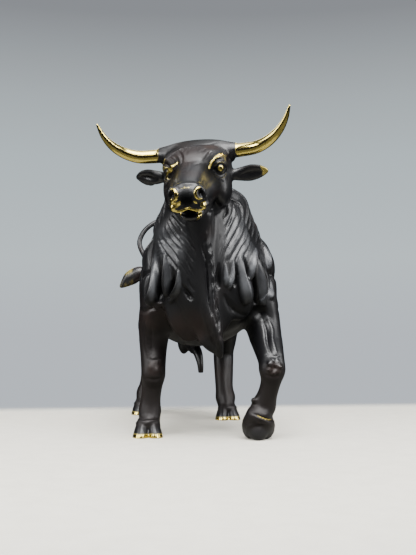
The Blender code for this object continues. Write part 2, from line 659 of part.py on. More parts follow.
def work_neck(skin):
    """Folds of loose skin that run from the crest and the jaw down and in to the keel."""
    strands(skin, (
        ((-3.63, 18.6), (-3.25, 18.0), (-2.77, 17.4)),
        ((-3.80, 18.3), (-3.50, 17.6), (-3.02, 16.9)),
        ((-3.94, 18.1), (-3.72, 17.5), (-3.34, 16.9), (-2.92, 16.3)),
        ((-4.15, 17.8), (-3.98, 17.2), (-3.60, 16.6), (-3.05, 15.8)),
        ((-4.42, 17.3), (-4.21, 16.7), (-3.73, 16.1), (-3.33, 15.5), (-3.05, 14.9)),
        ((-4.63, 17.0), (-4.32, 16.2), (-3.90, 15.5), (-3.45, 14.8), (-2.90, 14.0)),
    ), THROAT, 0.19, 0.20, 0.10)
    strands(skin, (
        ((-2.42, 16.7), (-2.08, 16.1), (-1.80, 15.4)),
        ((-2.64, 16.6), (-2.33, 15.8), (-2.00, 14.9)),
        ((-2.80, 16.3), (-2.50, 15.4), (-2.10, 14.3), (-1.64, 13.3)),
    ), THROAT, 0.15, 0.10, 0.03)
    strands(skin, (
        ((1.00, 19.6), (0.85, 19.0), (0.55, 18.4)),
        ((1.55, 19.8), (1.50, 19.1), (1.10, 18.2), (0.70, 17.5)),
        ((2.00, 19.6), (1.75, 18.7), (1.30, 17.7), (0.75, 16.6)),
        ((2.51, 18.9), (2.00, 17.8), (1.40, 16.8), (0.63, 15.4)),
        ((2.80, 18.1), (2.35, 17.0), (1.80, 16.1), (1.05, 14.9)),
        ((3.14, 17.8), (2.80, 16.9), (2.20, 16.1), (1.65, 15.0)),
        ((3.40, 17.1), (2.95, 16.2), (2.50, 15.5), (2.25, 15.0)),
    ), FRONT, 0.19, 0.20, 0.10)
    for side in (LEFT, RIGHT):
        skin.comb(((1.8, 20.6), (0.0, 18.2), (-2.0, 16.4)), ((-2.8, 22.2), (-3.7, 20.6), (-4.4, 18.6)), 6,
                  side, 0.42, 0.16, FOLD, sway=0.08)
        skin.comb(((1.0, 22.0), (0.5, 21.2), (-0.4, 20.2)), ((-3.0, 23.4), (-3.3, 22.6), (-3.9, 21.6)), 4,
                  side, 0.34, 0.12, FOLD, sway=0.06)


def work_breast(skin):
    """The keel and the long teardrop lobes that hang over the breast, with deep pockets between."""
    keel = (
        (-1.35, 16.4), (-1.25, 15.8), (-0.97, 15.1), (-0.86, 14.2), (-0.79, 13.2), (-0.73, 11.9),
        (-0.45, 10.4),
    )
    skin.stroke([(x + 0.34, z) for x, z in keel], FRONT, 0.26, 0.16, RIDGE)
    skin.stroke(keel, FRONT, 0.17, 0.32, GROOVE)
    skin.stroke(((-0.45, 10.6), (-0.1, 9.2), (0.25, 7.9)), FRONT, 0.30, 0.14, RIDGE)
    skin.stroke(((-0.2, 11.4), (0.15, 10.3), (0.2, 9.0)), FRONT, 0.25, 0.16, FOLD)
    lobes = (
        # marks, half width, height
        (((-4.75, 15.8), (-4.78, 14.2), (-4.86, 13.0), (-5.05, 11.7)), 0.50, 0.66),
        (((-4.12, 16.0), (-3.88, 14.4), (-3.80, 13.2), (-3.84, 12.2)), 0.42, 0.66),
        (((-3.10, 14.6), (-2.98, 13.4), (-3.10, 12.5), (-3.60, 11.7)), 0.32, 0.60),
        (((0.70, 14.9), (0.80, 14.0), (0.84, 12.9)), 0.28, 0.32),
        (((1.45, 15.3), (1.38, 14.0), (1.10, 12.7)), 0.28, 0.34),
        (((2.05, 15.6), (2.20, 14.2), (2.45, 12.9), (2.75, 11.5)), 0.66, 0.92),
        (((3.80, 16.4), (3.25, 15.1), (2.95, 13.5)), 0.38, 0.56),
        (((3.80, 15.6), (4.05, 14.2), (4.28, 13.0), (4.40, 11.4)), 0.44, 0.62),
        (((4.85, 17.0), (5.15, 16.0), (5.25, 14.7)), 0.46, 0.36),
        (((5.05, 14.2), (5.25, 13.2), (5.10, 12.0)), 0.42, 0.36),
    )
    pockets = (
        (((-4.34, 15.0), (-4.29, 13.8), (-4.28, 12.7), (-4.35, 11.7)), 0.38, 0.85),
        (((-3.46, 14.6), (-3.38, 13.6), (-3.46, 12.6), (-3.55, 12.1)), 0.27, 0.55),
        (((-2.75, 13.1), (-2.42, 12.5), (-1.95, 11.8)), 0.26, 0.34),
        (((0.16, 14.8), (0.13, 13.8), (0.16, 12.7)), 0.28, 0.38),
        (((1.70, 14.9), (1.66, 13.9), (1.55, 12.9)), 0.20, 0.30),
        (((2.42, 15.6), (2.55, 14.6), (2.68, 13.5)), 0.25, 0.46),
        (((3.32, 14.6), (3.45, 13.5), (3.62, 12.4), (3.75, 11.5)), 0.34, 0.85),
    )
    creases = (
        (((-4.80, 15.6), (-5.20, 14.1), (-5.42, 13.0), (-5.44, 12.0)), 0.24, 0.22),
        (((-2.29, 13.5), (-2.06, 12.9), (-1.75, 12.5)), 0.18, 0.12),
        (((4.00, 15.4), (4.40, 14.4), (4.74, 13.6), (4.80, 12.4)), 0.24, 0.34),
        (((4.80, 14.5), (5.20, 14.35), (5.60, 14.1)), 0.20, 0.26),
        (((0.6, 12.3), (1.4, 11.2), (2.6, 10.6), (3.5, 11.0)), 0.50, 0.20),
    )
    for marks, wide, high in lobes:
        skin.stroke(marks, FRONT, wide, high, LOBE, lean=1.9)
    for marks, wide, deep in pockets:
        skin.stroke(marks, FRONT, wide, deep, PIT, lean=1.9)
    for marks, wide, deep in creases:
        skin.stroke(marks, FRONT, wide, deep, GROOVE)
    skin.dab((4.1, 10.9), FRONT, (0.9, 0.8), -0.45)
    # Knots along the keel.
    for x, z, size in (
        (-0.85, 16.2, 0.30), (-0.60, 15.5, 0.24), (-0.95, 14.9, 0.20), (-0.45, 14.6, 0.24),
        (-0.42, 13.6, 0.22), (-0.40, 12.7, 0.26), (-0.12, 11.6, 0.30), (0.05, 10.5, 0.34),
    ):
        skin.dab((x, z), FRONT, (size, 1.8 * size), 0.08)


def work_flanks(skin):
    """Shoulder blade, elbow, ribs, the fold of the flank, and the thigh."""
    for side in (LEFT, RIGHT):
        skin.stroke(((3.4, 20.2), (4.7, 17.4), (4.3, 14.0), (2.9, 10.4)), side, 0.55, 0.30, GROOVE)
        skin.stroke(((2.3, 20.3), (0.7, 17.0), (-0.7, 14.4)), side, 0.45, 0.20, RIDGE)
        skin.stroke(((0.6, 20.6), (-0.7, 17.4), (-1.6, 15.0)), side, 0.42, 0.26, GROOVE)
        skin.stroke(((3.0, 16.8), (2.0, 14.2), (0.6, 12.2)), side, 0.45, 0.22, GROOVE)
        skin.stroke(((-2.2, 14.4), (-0.8, 14.1), (0.8, 13.4)), side, 0.36, 0.18, GROOVE)
        skin.stroke(((-2.0, 11.5), (-0.8, 11.0), (0.9, 11.4)), side, 0.36, 0.16, GROOVE)
        skin.comb(((6.4, 17.4), (6.7, 14.4), (7.0, 11.0)), ((12.0, 17.0), (12.3, 14.4), (11.6, 11.4)), 5,
                  side, 0.55, 0.055, GROOVE, sway=0.12)
        skin.stroke(((4.2, 9.6), (7.5, 8.9), (10.8, 9.6), (13.0, 11.6)), side, 0.5, 0.20, FOLD)
        skin.dab((12.9, 16.2), side, (1.7, 1.5), -0.35)
        skin.stroke(((14.2, 16.0), (13.4, 13.4), (13.3, 11.0)), side, 0.40, 0.24, GROOVE)
        skin.stroke(((19.4, 17.2), (18.7, 14.2), (17.6, 11.2), (17.2, 9.8)), side, 0.42, 0.28, GROOVE)
        skin.stroke(((16.9, 17.4), (15.9, 14.4), (15.2, 11.6)), side, 0.40, 0.14, GROOVE)
        skin.stroke(((15.6, 16.8), (16.6, 18.2), (18.6, 18.0)), side, 0.40, 0.14, GROOVE)


def work_legs(skin):
    """Cords of the forearms, knuckles of the knees, tendons, and the top edge of each hoof."""
    skin.stroke(((4.75, 10.6), (5.1, 9.6), (5.0, 8.4), (5.2, 7.2)), FRONT, 0.26, 0.20, RIDGE)
    skin.stroke(((4.4, 10.4), (4.6, 9.4), (4.55, 8.2), (4.8, 7.2)), FRONT, 0.24, 0.20, GROOVE)
    skin.stroke(((-5.35, 10.2), (-5.3, 8.6), (-5.15, 7.2)), FRONT, 0.26, 0.16, RIDGE)
    skin.stroke(((-4.9, 10.0), (-4.85, 8.4), (-4.75, 7.0)), FRONT, 0.24, 0.14, GROOVE)
    for x, z, high in ((4.9, 6.5, 0.13), (-4.65, 6.1, 0.07)):
        skin.dab((x - 0.3, z + 0.2), FRONT, (0.42, 0.5), high)
        skin.dab((x + 0.35, z - 0.1), FRONT, (0.4, 0.45), high)
        skin.stroke(((x - 0.8, z - 0.75), (x, z - 0.9), (x + 0.8, z - 0.75)), FRONT, 0.2, 0.10, GROOVE)
        skin.stroke(((x - 0.7, z + 0.9), (x, z + 0.75), (x + 0.7, z + 0.9)), FRONT, 0.2, 0.08, GROOVE)
    skin.stroke(CORONET, FRONT, 0.16, 0.14, GROOVE)
    skin.stroke([(x + 0.05, z - 0.22) for x, z in CORONET], FRONT, 0.16, 0.08, RIDGE)
    # Tendons down the backs of the cannons, seen from either side.
    cannons = (
        # side, y, top, foot
        (LEFT, -2.95, 4.9, 3.6),
        (LEFT, 15.6, 5.8, 3.4),
        (RIGHT, 0.95, 4.8, 3.0),
        (RIGHT, 20.85, 5.8, 3.4),
    )
    for side, y, top, foot in cannons:
        skin.stroke(((y, top), (y - 0.05, (top + foot) / 2), (y, foot)), side, 0.2, 0.12, GROOVE)
    for x, y in ((-4.98, 0.1), (3.95, 13.35), (-4.4, 20.05)):
        skin.stroke(((x - 1.1, 1.45), (x, 1.75), (x + 1.1, 1.45)), FRONT, 0.16, 0.08, RIDGE, blunt=0.6)
        side = LEFT if x > 0 else RIGHT
        skin.stroke(((y - 1.0, 1.65), (y, 1.5), (y + 0.7, 1.25)), side, 0.16, 0.08, RIDGE, blunt=0.6)


def eye_side(s):
    """The eye's own side to draw from, and the middle of the eye."""
    look = Vector((s * 0.60, -0.74, 0.30)).normalized()
    across = Vector((0, 0, 1)).cross(look).normalized() * s
    eye = HEAD @ Vector((s * 2.12, -3.8, -1.44 + s * 0.08))
    return head_side(across, look.cross(across) * s, look), eye


def work_sockets(skin):
    """Hollows for the eyes, the brow over each, the roll of the poll, and the nose pad."""
    for s in (-1, 1):
        view, eye = eye_side(s)
        skin.dab((0, 0), view, (0.9, 0.78), -0.30, eye)
        skin.stroke(BROW, view, 0.34, 0.30, RIDGE, eye)
        skin.stroke(((-0.8, -0.55), (-0.1, -0.8), (0.7, -0.55)), view, 0.3, 0.10, RIDGE, eye)
    skin.stroke(((-2.3, -2.9), (-1.7, -2.2), (-1.1, -1.45), (0.1, -1.2), (1.1, -1.1), (1.8, -0.9)),
                FACE, 0.34, 0.14, GROOVE, POLL)
    roll = ((-2.6, -0.9), (-1.3, -0.6), (0, -0.5), (1.3, -0.5), (2.5, -0.7))
    skin.stroke(roll, FACE, 0.5, 0.10, RIDGE, POLL)
    skin.stroke(((-0.9, -3.5), (0, -3.42), (0.9, -3.5)), NOSE, 0.34, 0.34, PIT, POLL, 0.4)


def work_head(skin):
    """Lids, the creases of the forehead and the cheeks, nostrils, lips and ears."""
    poll = POLL
    for s in (-1, 1):
        view, eye = eye_side(s)
        skin.dab((0.04, 0.02), view, (0.36, 0.36), 0.26, eye, 0.6)
        skin.stroke(UPPER_LID, view, 0.13, 0.17, RIDGE, eye)
        skin.stroke(LOWER_LID, view, 0.12, 0.14, RIDGE, eye)
        over, under = (-0.75, 0.30), (-0.5, -0.3)
        skin.stroke((over, (-0.3, 0.60), (0.12, 0.72), (0.72, 0.56)), view, 0.13, 0.16, GROOVE, eye)
        skin.stroke((under, (-0.1, -0.58), (0.35, -0.55), (0.7, -0.4)), view, 0.12, 0.10, GROOVE, eye)
        skin.stroke(((-0.9, -0.25), (-0.6, -0.75), (0.0, -1.15)), view, 0.18, 0.10, GROOVE, eye)
        # The hollow beside the nose.
        skin.stroke(((s * 1.6, -4.7), (s * 1.5, -5.6), (s * 1.35, -6.8)), FACE, 0.42, 0.08, GROOVE, poll)
        # Nostril: a pit under a rolled rim, which curls round its inner side.
        pit = ((s * 1.12, -1.42), (s * 1.16, -1.7), (s * 1.22, -2.0))
        skin.stroke(pit, NOSE, 0.27, 0.42, PIT, poll, 0.5)
        skin.stroke([(s * u, w) for u, w in NOSTRIL], NOSE, 0.17, 0.17, RIDGE, poll)
        skin.dab((s * 1.18, -2.35), NOSE, (0.26, 0.2), 0.14, poll)
        skin.stroke(((s * 0.5, -2.2), (s * 0.78, -2.5)), NOSE, 0.14, 0.10, RIDGE, poll)
        # Corner of the mouth and the side of the chin.
        skin.dab((s * 1.15, -2.8), NOSE, (0.36, 0.34), 0.14, poll)
        skin.stroke(((s * 0.2, -3.75), (s * 0.5, -3.8), (s * 0.85, -3.7)), NOSE, 0.18, 0.10, RIDGE, poll)
        # The ear's hollow.
        root = HEAD @ Vector((s * 2.75, -1.9, -2.42 - s * 0.1))
        cup = head_side((s * 0.95, 0.3, -0.04), (0, 0.2, 1), (0, -1, 0))
        skin.stroke(((0.6, -0.05), (1.3, -0.05), (2.0, 0.0), (2.7, 0.03)), cup, 0.55, 0.26, GROOVE, root)
    # The lips: a gold-edged upper one that rises in the middle, and the dark line under it.
    skin.stroke(LIP, NOSE, 0.16, 0.16, RIDGE, poll, 0.3)
    skin.stroke([(x, z - 0.22) for x, z in LIP], NOSE, 0.17, 0.26, GROOVE, poll, 0.4)
    for wide, deep, marks in FOREHEAD:
        skin.stroke(marks, FACE, wide, deep, GROOVE, poll)
    skin.stroke(((-0.9, -1.22), (-0.3, -1.1), (0.3, -1.1), (0.8, -1.2)), NOSE, 0.2, 0.12, RIDGE, poll)
    skin.stroke(((0, -1.9), (0, -2.3), (0, -2.7)), NOSE, 0.14, 0.10, GROOVE, poll)


def work_tail(skin):
    """Locks of the tail's brush."""
    skin.comb(((-3.7, 16.6), (-4.9, 16.7), (-6.6, 15.1)), ((-4.0, 15.8), (-5.2, 15.3), (-6.6, 14.7)), 5,
              FRONT, 0.16, 0.08, GROOVE, sway=0.03)


def worked(mesh, grain):
    """The skin after every stroke. Broad forms come first, the finer strokes lie on them."""
    for passes in ((work_breast, work_flanks, work_sockets), (work_neck, work_legs, work_head, work_tail)):
        skin = Skin(mesh)
        for work in passes:
            work(skin)
        skin.finish()
    soften(mesh, np.full(len(mesh.vertices), SOFT_FINE), grain)


def rest_on_ground(mesh):
    """Cut the soles flat on the ground and close them."""
    work = bmesh.new()
    work.from_mesh(mesh)
    every = work.verts[:] + work.edges[:] + work.faces[:]
    bmesh.ops.bisect_plane(work, geom=every, plane_co=(0, 0, GROUND), plane_no=(0, 0, 1), clear_inner=True)
    bmesh.ops.holes_fill(work, edges=[edge for edge in work.edges if edge.is_boundary])
    bmesh.ops.triangulate(work, faces=work.faces)
    work.to_mesh(mesh)
    work.free()


def faceted(mesh, count):
    """The skin, all of four-sided cells, in a given number of triangles."""
    block = bpy.data.objects.new("block", mesh)
    bpy.context.scene.collection.objects.link(block)
    fewer = block.modifiers.new("facets", "DECIMATE")
    fewer.ratio = count / (2 * len(mesh.polygons))
    graph = bpy.context.evaluated_depsgraph_get()
    made = bpy.data.meshes.new_from_object(block.evaluated_get(graph))
    bpy.data.objects.remove(block)
    return made


def bronze():
    """Near-black satin patina."""
    material = bpy.data.materials.new("bronze")
    material.use_nodes = True
    shader = material.node_tree.nodes["Principled BSDF"]
    shader.inputs["Base Color"].default_value = PATINA
    shader.inputs["Metallic"].default_value = 1.0
    shader.inputs["Roughness"].default_value = 0.42
    return material


for old in list(bpy.data.objects):
    bpy.data.objects.remove(old)

grain = SKIN_GRAIN / U
skin_mesh = fused(grain)
soften(skin_mesh, softness(points_of(skin_mesh)), grain)
worked(skin_mesh, grain)
cast = faceted(skin_mesh, FACETS)
rest_on_ground(cast)

# The middle of the box that holds the cast, at the ground, is the origin.
corners = points_of(cast)
low, high = corners.min(0), corners.max(0)
middle = (low + high) / 2
cast.transform(Matrix.Scale(U, 4) @ Matrix.Translation((-middle[0], -middle[1], -low[2])))
cast.materials.append(bronze())

bull = bpy.data.objects.new("bull", cast)
group = bpy.data.collections.new("bull_sculpture")
bpy.context.scene.collection.children.link(group)
group.objects.link(bull)
span = bull.dimensions * 1000
print(f"bull: {len(cast.polygons)} triangles, {span.x:.0f} x {span.y:.0f} x {span.z:.0f} mm")
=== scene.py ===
# %% [markdown]
# # A fighting bull in dark bronze
# The real thing is one hollow casting: a bull at a walk, nearly black, with the bright metal
# showing where hands and polishing cloths have rubbed it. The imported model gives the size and
# the stance. This lesson models the same bull again in finer clay, works its skin with strokes,
# and gives it its patina.

# %% The frame
import json
import math

import bmesh
import bpy
import numpy as np
from mathutils import Matrix, Vector
from mathutils.bvhtree import BVHTree

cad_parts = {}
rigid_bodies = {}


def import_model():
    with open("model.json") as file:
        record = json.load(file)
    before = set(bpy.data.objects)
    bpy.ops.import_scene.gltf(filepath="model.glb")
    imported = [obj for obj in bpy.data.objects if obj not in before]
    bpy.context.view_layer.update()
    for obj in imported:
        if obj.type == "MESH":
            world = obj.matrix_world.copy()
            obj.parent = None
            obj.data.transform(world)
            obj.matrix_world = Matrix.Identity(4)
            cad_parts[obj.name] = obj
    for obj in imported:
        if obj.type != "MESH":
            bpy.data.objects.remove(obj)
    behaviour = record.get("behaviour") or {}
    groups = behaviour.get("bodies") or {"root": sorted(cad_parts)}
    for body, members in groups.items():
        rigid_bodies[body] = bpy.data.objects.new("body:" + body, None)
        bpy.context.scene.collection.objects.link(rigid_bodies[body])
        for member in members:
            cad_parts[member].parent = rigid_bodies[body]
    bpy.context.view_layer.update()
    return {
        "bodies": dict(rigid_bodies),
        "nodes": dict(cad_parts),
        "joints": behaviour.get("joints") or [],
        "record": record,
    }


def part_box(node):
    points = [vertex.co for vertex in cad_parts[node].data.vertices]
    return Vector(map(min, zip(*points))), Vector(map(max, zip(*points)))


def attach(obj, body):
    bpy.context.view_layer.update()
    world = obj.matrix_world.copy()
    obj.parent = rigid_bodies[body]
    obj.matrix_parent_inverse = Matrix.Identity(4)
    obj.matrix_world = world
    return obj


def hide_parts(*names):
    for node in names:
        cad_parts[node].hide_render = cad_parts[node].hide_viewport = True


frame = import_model()
solid_low, solid_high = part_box("bull")
print("cast, in mm:", [round(1000 * side) for side in solid_high - solid_low])

# %% [markdown]
# ## Units
# A sculptor measures an animal against itself. One unit here is a twenty-fifth of the height of
# the poll, the top of the head between the horns, and comes to 10 mm on this bull. Everything is
# modelled in units, and the finished skin is scaled and set into the frame's box at the end.

# %% Units
POLL_HEIGHT = 0.25
U = POLL_HEIGHT / 25
HORN_ROOT, HORN_TIP = 0.0118, 0.0022
EAR_LENGTH = 0.031
TAIL_THICK = 0.006
HOOF_WIDTH, HOOF_HEIGHT = 0.0245, 0.0135
LEG_THICK = 0.015
GROUND = 0.3  # height at which the soles are cut flat, in units
GRAIN = 0.00075 / U  # cells of the skin
TRIANGLES = 190000
SOFT_BODY, SOFT_LEG, SOFT_HEAD, SOFT_FINE = 0.4, 0.17, 0.15, 0.06
print("one unit is", U * 1000, "mm; the skin's cells are", round(GRAIN * U * 1000, 2), "mm")

# %% [markdown]
# ## The head's own frame
# The head is bowed, turned to the bull's right and tipped a little, so its parts are placed in a
# frame of its own: the nose runs along -Y, and Z stands on the forehead.

# %% Head frame
POLL = Vector((-1.4, -4.7, 25.0))
HEAD_TURN, HEAD_BOW, HEAD_TIP = -15.0, 28.5, -2.5


def head_frame():
    turn = Matrix.Rotation(math.radians(HEAD_TURN), 4, "Z")
    bow = Matrix.Rotation(math.radians(HEAD_BOW), 4, "X")
    tip = Matrix.Rotation(math.radians(HEAD_TIP), 4, "Y")
    return Matrix.Translation(POLL) @ turn @ bow @ tip


HEAD = head_frame()
HERE = Matrix.Identity(4)
print("nose points along", [round(x, 2) for x in HEAD.to_3x3() @ Vector((0, -1, 0))])

# %% [markdown]
# ## Clay
# Muscle is laid on as balls, spindles and tubes. Each mass starts from a bmesh operator: a
# sphere that is stretched, or a circle that is extruded from row to row. A smooth curve through
# a few rows gives a limb its swelling, which is easier to steer than a cage of control points.

# %% Clay tools


def in_scene(name, data):
    """A new object at the origin, in the scene."""
    made = bpy.data.objects.new(name, data)
    bpy.context.scene.collection.objects.link(made)
    return made


def frame_along(place, along, facing):
    """A frame at place with its Z along one direction and its Y as near facing as it can be."""
    z = Vector(along).normalized()
    x = Vector(facing).cross(z).normalized()
    y = z.cross(x)
    return Matrix.Translation(place) @ Matrix((x, y, z)).transposed().to_4x4()


def join(clay, piece):
    bmesh.ops.recalc_face_normals(piece, faces=piece.faces)
    mesh = bpy.data.meshes.new("piece")
    piece.to_mesh(mesh)
    piece.free()
    clay.from_mesh(mesh)
    bpy.data.meshes.remove(mesh)


def ball(clay, place, radii, frame=HERE):
    piece = bmesh.new()
    place = frame @ Matrix.Translation(place) @ Matrix.Diagonal((*radii, 1.0))
    bmesh.ops.create_uvsphere(piece, u_segments=24, v_segments=14, radius=1.0, matrix=place)
    join(clay, piece)


def muscle(clay, start, end, wide, thick, facing, frame=HERE):
    """A spindle from start to end: half its width across facing, half its thickness along it."""
    start, end = Vector(start), Vector(end)
    lie = frame_along((start + end) / 2, end - start, facing)
    size = (wide, thick, (end - start).length / 2)
    ball(clay, (0, 0, 0), size, frame @ lie)


def smooth_rows(rows, per_span):
    """Rows of numbers read along a smooth curve through the given rows."""
    rows = np.array([rows[0], *rows, rows[-1]], float)
    out = []
    for a, b, c, d in zip(rows, rows[1:], rows[2:], rows[3:]):
        for t in np.arange(per_span) / per_span:
            bend = (2 * a - 5 * b + 4 * c - d) * t**2 + (3 * b - a - 3 * c + d) * t**3
            out.append(b + 0.5 * ((c - a) * t + bend))
    return np.array([*out, rows[-2]])


def limb(clay, rows, facing, per_span=5, frame=HERE, around=20):
    """A tube through rows of x, y, z, half width and half depth. Its depth lies along facing."""
    rows = smooth_rows(rows, per_span)
    places = [Vector(row[:3]) for row in rows]
    ways = [(b - a).normalized() for a, b in zip(places, places[1:])]
    ways = [ways[0]] + [a + b for a, b in zip(ways, ways[1:])] + [ways[-1]]
    rings = [
        frame @ frame_along(place, way, facing) @ Matrix.Diagonal((row[3], row[4], 1.0, 1.0))
        for place, way, row in zip(places, ways, rows)
    ]
    tube = bmesh.new()
    start = bmesh.ops.create_circle(tube, cap_ends=True, radius=1.0, segments=around, matrix=rings[0])
    edges = list({edge for vert in start["verts"] for edge in vert.link_edges})
    for before, after in zip(rings, rings[1:]):
        grown = bmesh.ops.extrude_edge_only(tube, edges=edges)["geom"]
        verts = [item for item in grown if isinstance(item, bmesh.types.BMVert)]
        edges = [item for item in grown if isinstance(item, bmesh.types.BMEdge)]
        bmesh.ops.transform(tube, matrix=after @ before.inverted(), verts=verts)
    bmesh.ops.contextual_create(tube, geom=edges)
    join(clay, tube)


clay = bmesh.new()
print("tools ready")

# %% [markdown]
# ## Barrel
# Chest, ribs, belly and rump are one tube with a section every few units. A second, flat tube
# along the top makes the withers and the ridge of the spine.

# %% Barrel
sections = (
    # x, y, z of the section's middle, half width, half depth
    (0, -4.3, 12.4, 2.4, 2.2),
    (0, -3.5, 12.8, 3.9, 4.2),
    (0, -1.6, 13.6, 5, 5.35),
    (0, 1.5, 14.1, 5.4, 6),
    (0, 5, 13.9, 5.6, 5.95),
    (0, 9, 13.5, 5.5, 5.55),
    (0, 13, 13.5, 4.9, 5.1),
    (0, 16, 14.1, 4.2, 4.5),
    (0, 19, 14.8, 3.5, 3.8),
    (0, 20.9, 15, 2.3, 2.8),
)
limb(clay, sections, facing=(0, 0, 1), around=48)
# The withers and the spine make a ridge along the back.
spine = (
    (0, -0.5, 19.6, 1.9, 1.3),
    (0, 4, 19.4, 1.5, 1),
    (0, 10, 18.3, 1.2, 0.7),
    (0, 15.5, 18, 1.7, 0.75),
    (0, 20.5, 17.3, 1.1, 0.8),
)
limb(clay, spine, facing=(0, 0, 1))
print("barrel:", len(clay.faces), "faces of clay")

# %% [markdown]
# ## Neck
# A fighting bull's neck is deeper than its head is long. It is a tube too, with the crest as a
# second one on top, and the dewlap hangs under it as a keel from the throat to the brisket.

# %% Neck
sections = (
    (0, 3, 15.3, 4.9, 4.8),
    (0, 0.5, 16.4, 5, 5.2),
    (-0.57, -1.8, 18, 3.86, 4.7),
    (-1.37, -3.4, 19.8, 2.62, 3.9),
    (-1.5, -5.2, 21.4, 2.4, 2.9),
)
limb(clay, sections, facing=(0, -0.6, 1), around=40)
crest = (
    (0, 5.5, 18.7, 1.6, 1.2),
    (-0.1, 2.2, 20.2, 2, 1.6),
    (-0.55, -0.8, 21.7, 1.85, 1.8),
    (-1.1, -3, 22.6, 2, 1.6),
    (-1.35, -4.4, 23.1, 2, 1.2),
)
limb(clay, crest, facing=(0, 0, 1))
# The dewlap hangs from the throat to the brisket as one deep keel.
keel = (
    (-1.6, -6.7, 18.8, 1.2, 0.9),
    (-1.3, -5.8, 17, 1.1, 1.2),
    (-0.95, -5.3, 15, 0.9, 1.3),
    (-0.65, -5.1, 12.5, 0.7, 1.3),
    (-0.3, -5, 10.2, 0.6, 1.4),
    (0.2, -4.6, 8.6, 0.5, 1.2),
    (0.45, -4, 7.4, 0.35, 0.75),
)
limb(clay, keel, facing=(0, -1, 0))
muscle(clay, (0.45, -4.5, 8.2), (0.1, -0.6, 8.7), 0.45, 0.95, (0, 0, 1))
muscle(clay, (-1.5, -4.2, 9.9), (0.5, -4.2, 7.5), 0.75, 0.5, (0, -1, 0))
# Behind the keel the throat and the breast fall away to both sides like a ship's bow.
muscle(clay, (-1.5, -5.0, 21.0), (-0.1, -3.7, 8.4), 2.8, 1.75, (0, -1, 0))
for side in (-1, 1):
    top, foot = (side * 1.9 - 1.1, -4.9, 20.4), (side * 3.6 - 0.2, -3.4, 13.4)
    muscle(clay, top, foot, 1.4, 0.7, (side, -0.9, 0))
print("neck:", len(clay.faces), "faces of clay")

# %% [markdown]
# ## Shoulders and haunches
# Spindles stand for the blade, the upper arm and the triceps in front, and for the hip, the
# thigh and the hamstrings behind. They only need to stand proud of the barrel, because the skin
# will be drawn over all of them.

# %% Shoulders and haunches
for side in (-1, 1):
    # Shoulder blade, upper arm and the heads of the triceps.
    muscle(clay, (side * 2.85, 3.6, 20.1), (side * 5.0, -2.2, 12.4), 2.4, 0.9, (side, -0.25, 0.15))
    muscle(clay, (side * 4.4, 4.8, 17.0), (side * 5.0, 1.2, 9.6), 2.0, 1.05, (side, 0.2, 0))
    out = 0.18 + 0.18 * side
    top, middle, foot = 4.3 + 0.7 * out, 5.1 + out, 4.9 + out
    muscle(clay, (side * top, -0.2, 17.6), (side * middle, -0.6, 13.4), 1.5, 0.85, (side, -0.3, 0))
    muscle(clay, (side * foot, -0.4, 15.2), (side * foot, -0.3, 10.6), 1.5, 0.95, (side, -0.2, 0))
    ball(clay, (side * (4.65 + out / 2), 0.4, 10.4), (0.9, 1.7, 1.7))
    # Cords over the point of the shoulder.
    muscle(clay, (side * 4.3, -2.0, 16.0), (side * 4.6, -2.5, 10.8), 0.75, 0.75, (side * 0.7, -1, 0))
    muscle(clay, (side * 3.3, -2.9, 16.2), (side * 3.6, -3.4, 11.6), 0.8, 0.7, (side * 0.5, -1, 0))
# The breast: a full lobe on the left, slung over the lifted leg, and a flat one on the right.
muscle(clay, (1.5, -4.1, 15.8), (2.3, -3.4, 10.1), 1.75, 1.15, (0.3, -1, 0))
muscle(clay, (-1.8, -3.8, 15.4), (-1.9, -2.9, 8.4), 2.3, 0.95, (-0.3, -1, 0))
for side in (-1, 1):
    ball(clay, (side * 2.9, 14.3, 17.0), (1.1, 1.7, 1.1))
    muscle(clay, (side * 2.5, 17.2, 18.3), (side * 3.6, 15.6, 9.2), 3.1, 1.5, (side, 0.15, 0))
    muscle(clay, (side * 1.9, 20.0, 17.6), (side * 3.1, 18.6, 9.4), 1.8, 1.3, (side, 0.8, 0))
    muscle(clay, (side * 3.2, 13.8, 16.4), (side * 3.7, 13.4, 9.8), 1.6, 1.1, (side, -0.3, 0))
    ball(clay, (side * 1.5, 20.5, 16.5), (0.9, 0.9, 1.1))
print("shoulders and haunches:", len(clay.faces), "faces of clay")

# %% [markdown]
# ## Legs
# Every leg is one tube from inside the trunk to the pastern. Its widths are given in cannon
# bones, because that is the thinnest part and the one the eye measures the rest by. A hoof is
# two claws side by side, with the coronet over them and the dewclaws behind.

# %% Legs


def leg(clay, rows, facing=(0, -1, 0)):
    """One leg, from inside the trunk to the top of the hoof. Widths are in cannon bones."""
    bone = LEG_THICK / U / 2
    rows = [(x, y, z, wide * bone, deep * bone) for x, y, z, wide, deep in rows]
    limb(clay, rows, facing, per_span=6)


def hoof(clay, frame):
    """Two claws side by side under the pastern. The frame's origin is the middle of the sole."""
    half = HOOF_WIDTH / U / 4
    high = HOOF_HEIGHT / U
    for side in (-1, 1):
        claw = (
            (side * half * 1.1, -0.3, -0.3, half * 1.24, 1.22),
            (side * half, -0.24, high * 0.3, half * 1.1, 1.12),
            (side * half * 0.82, -0.02, high * 0.8, half * 0.92, 0.9),
            (side * half * 0.62, 0.2, high * 1.3, half * 0.76, 0.64),
        )
        limb(clay, claw, facing=(0, -1, 0), frame=frame)
        # The coronet, and the dewclaws behind the pastern.
        ball(clay, (0, 0.05, high * 1.05), (half * 1.62, 0.94, 0.6), frame)
        ball(clay, (side * half * 0.6, 0.95, high * 1.5), (0.28, 0.3, 0.34), frame)


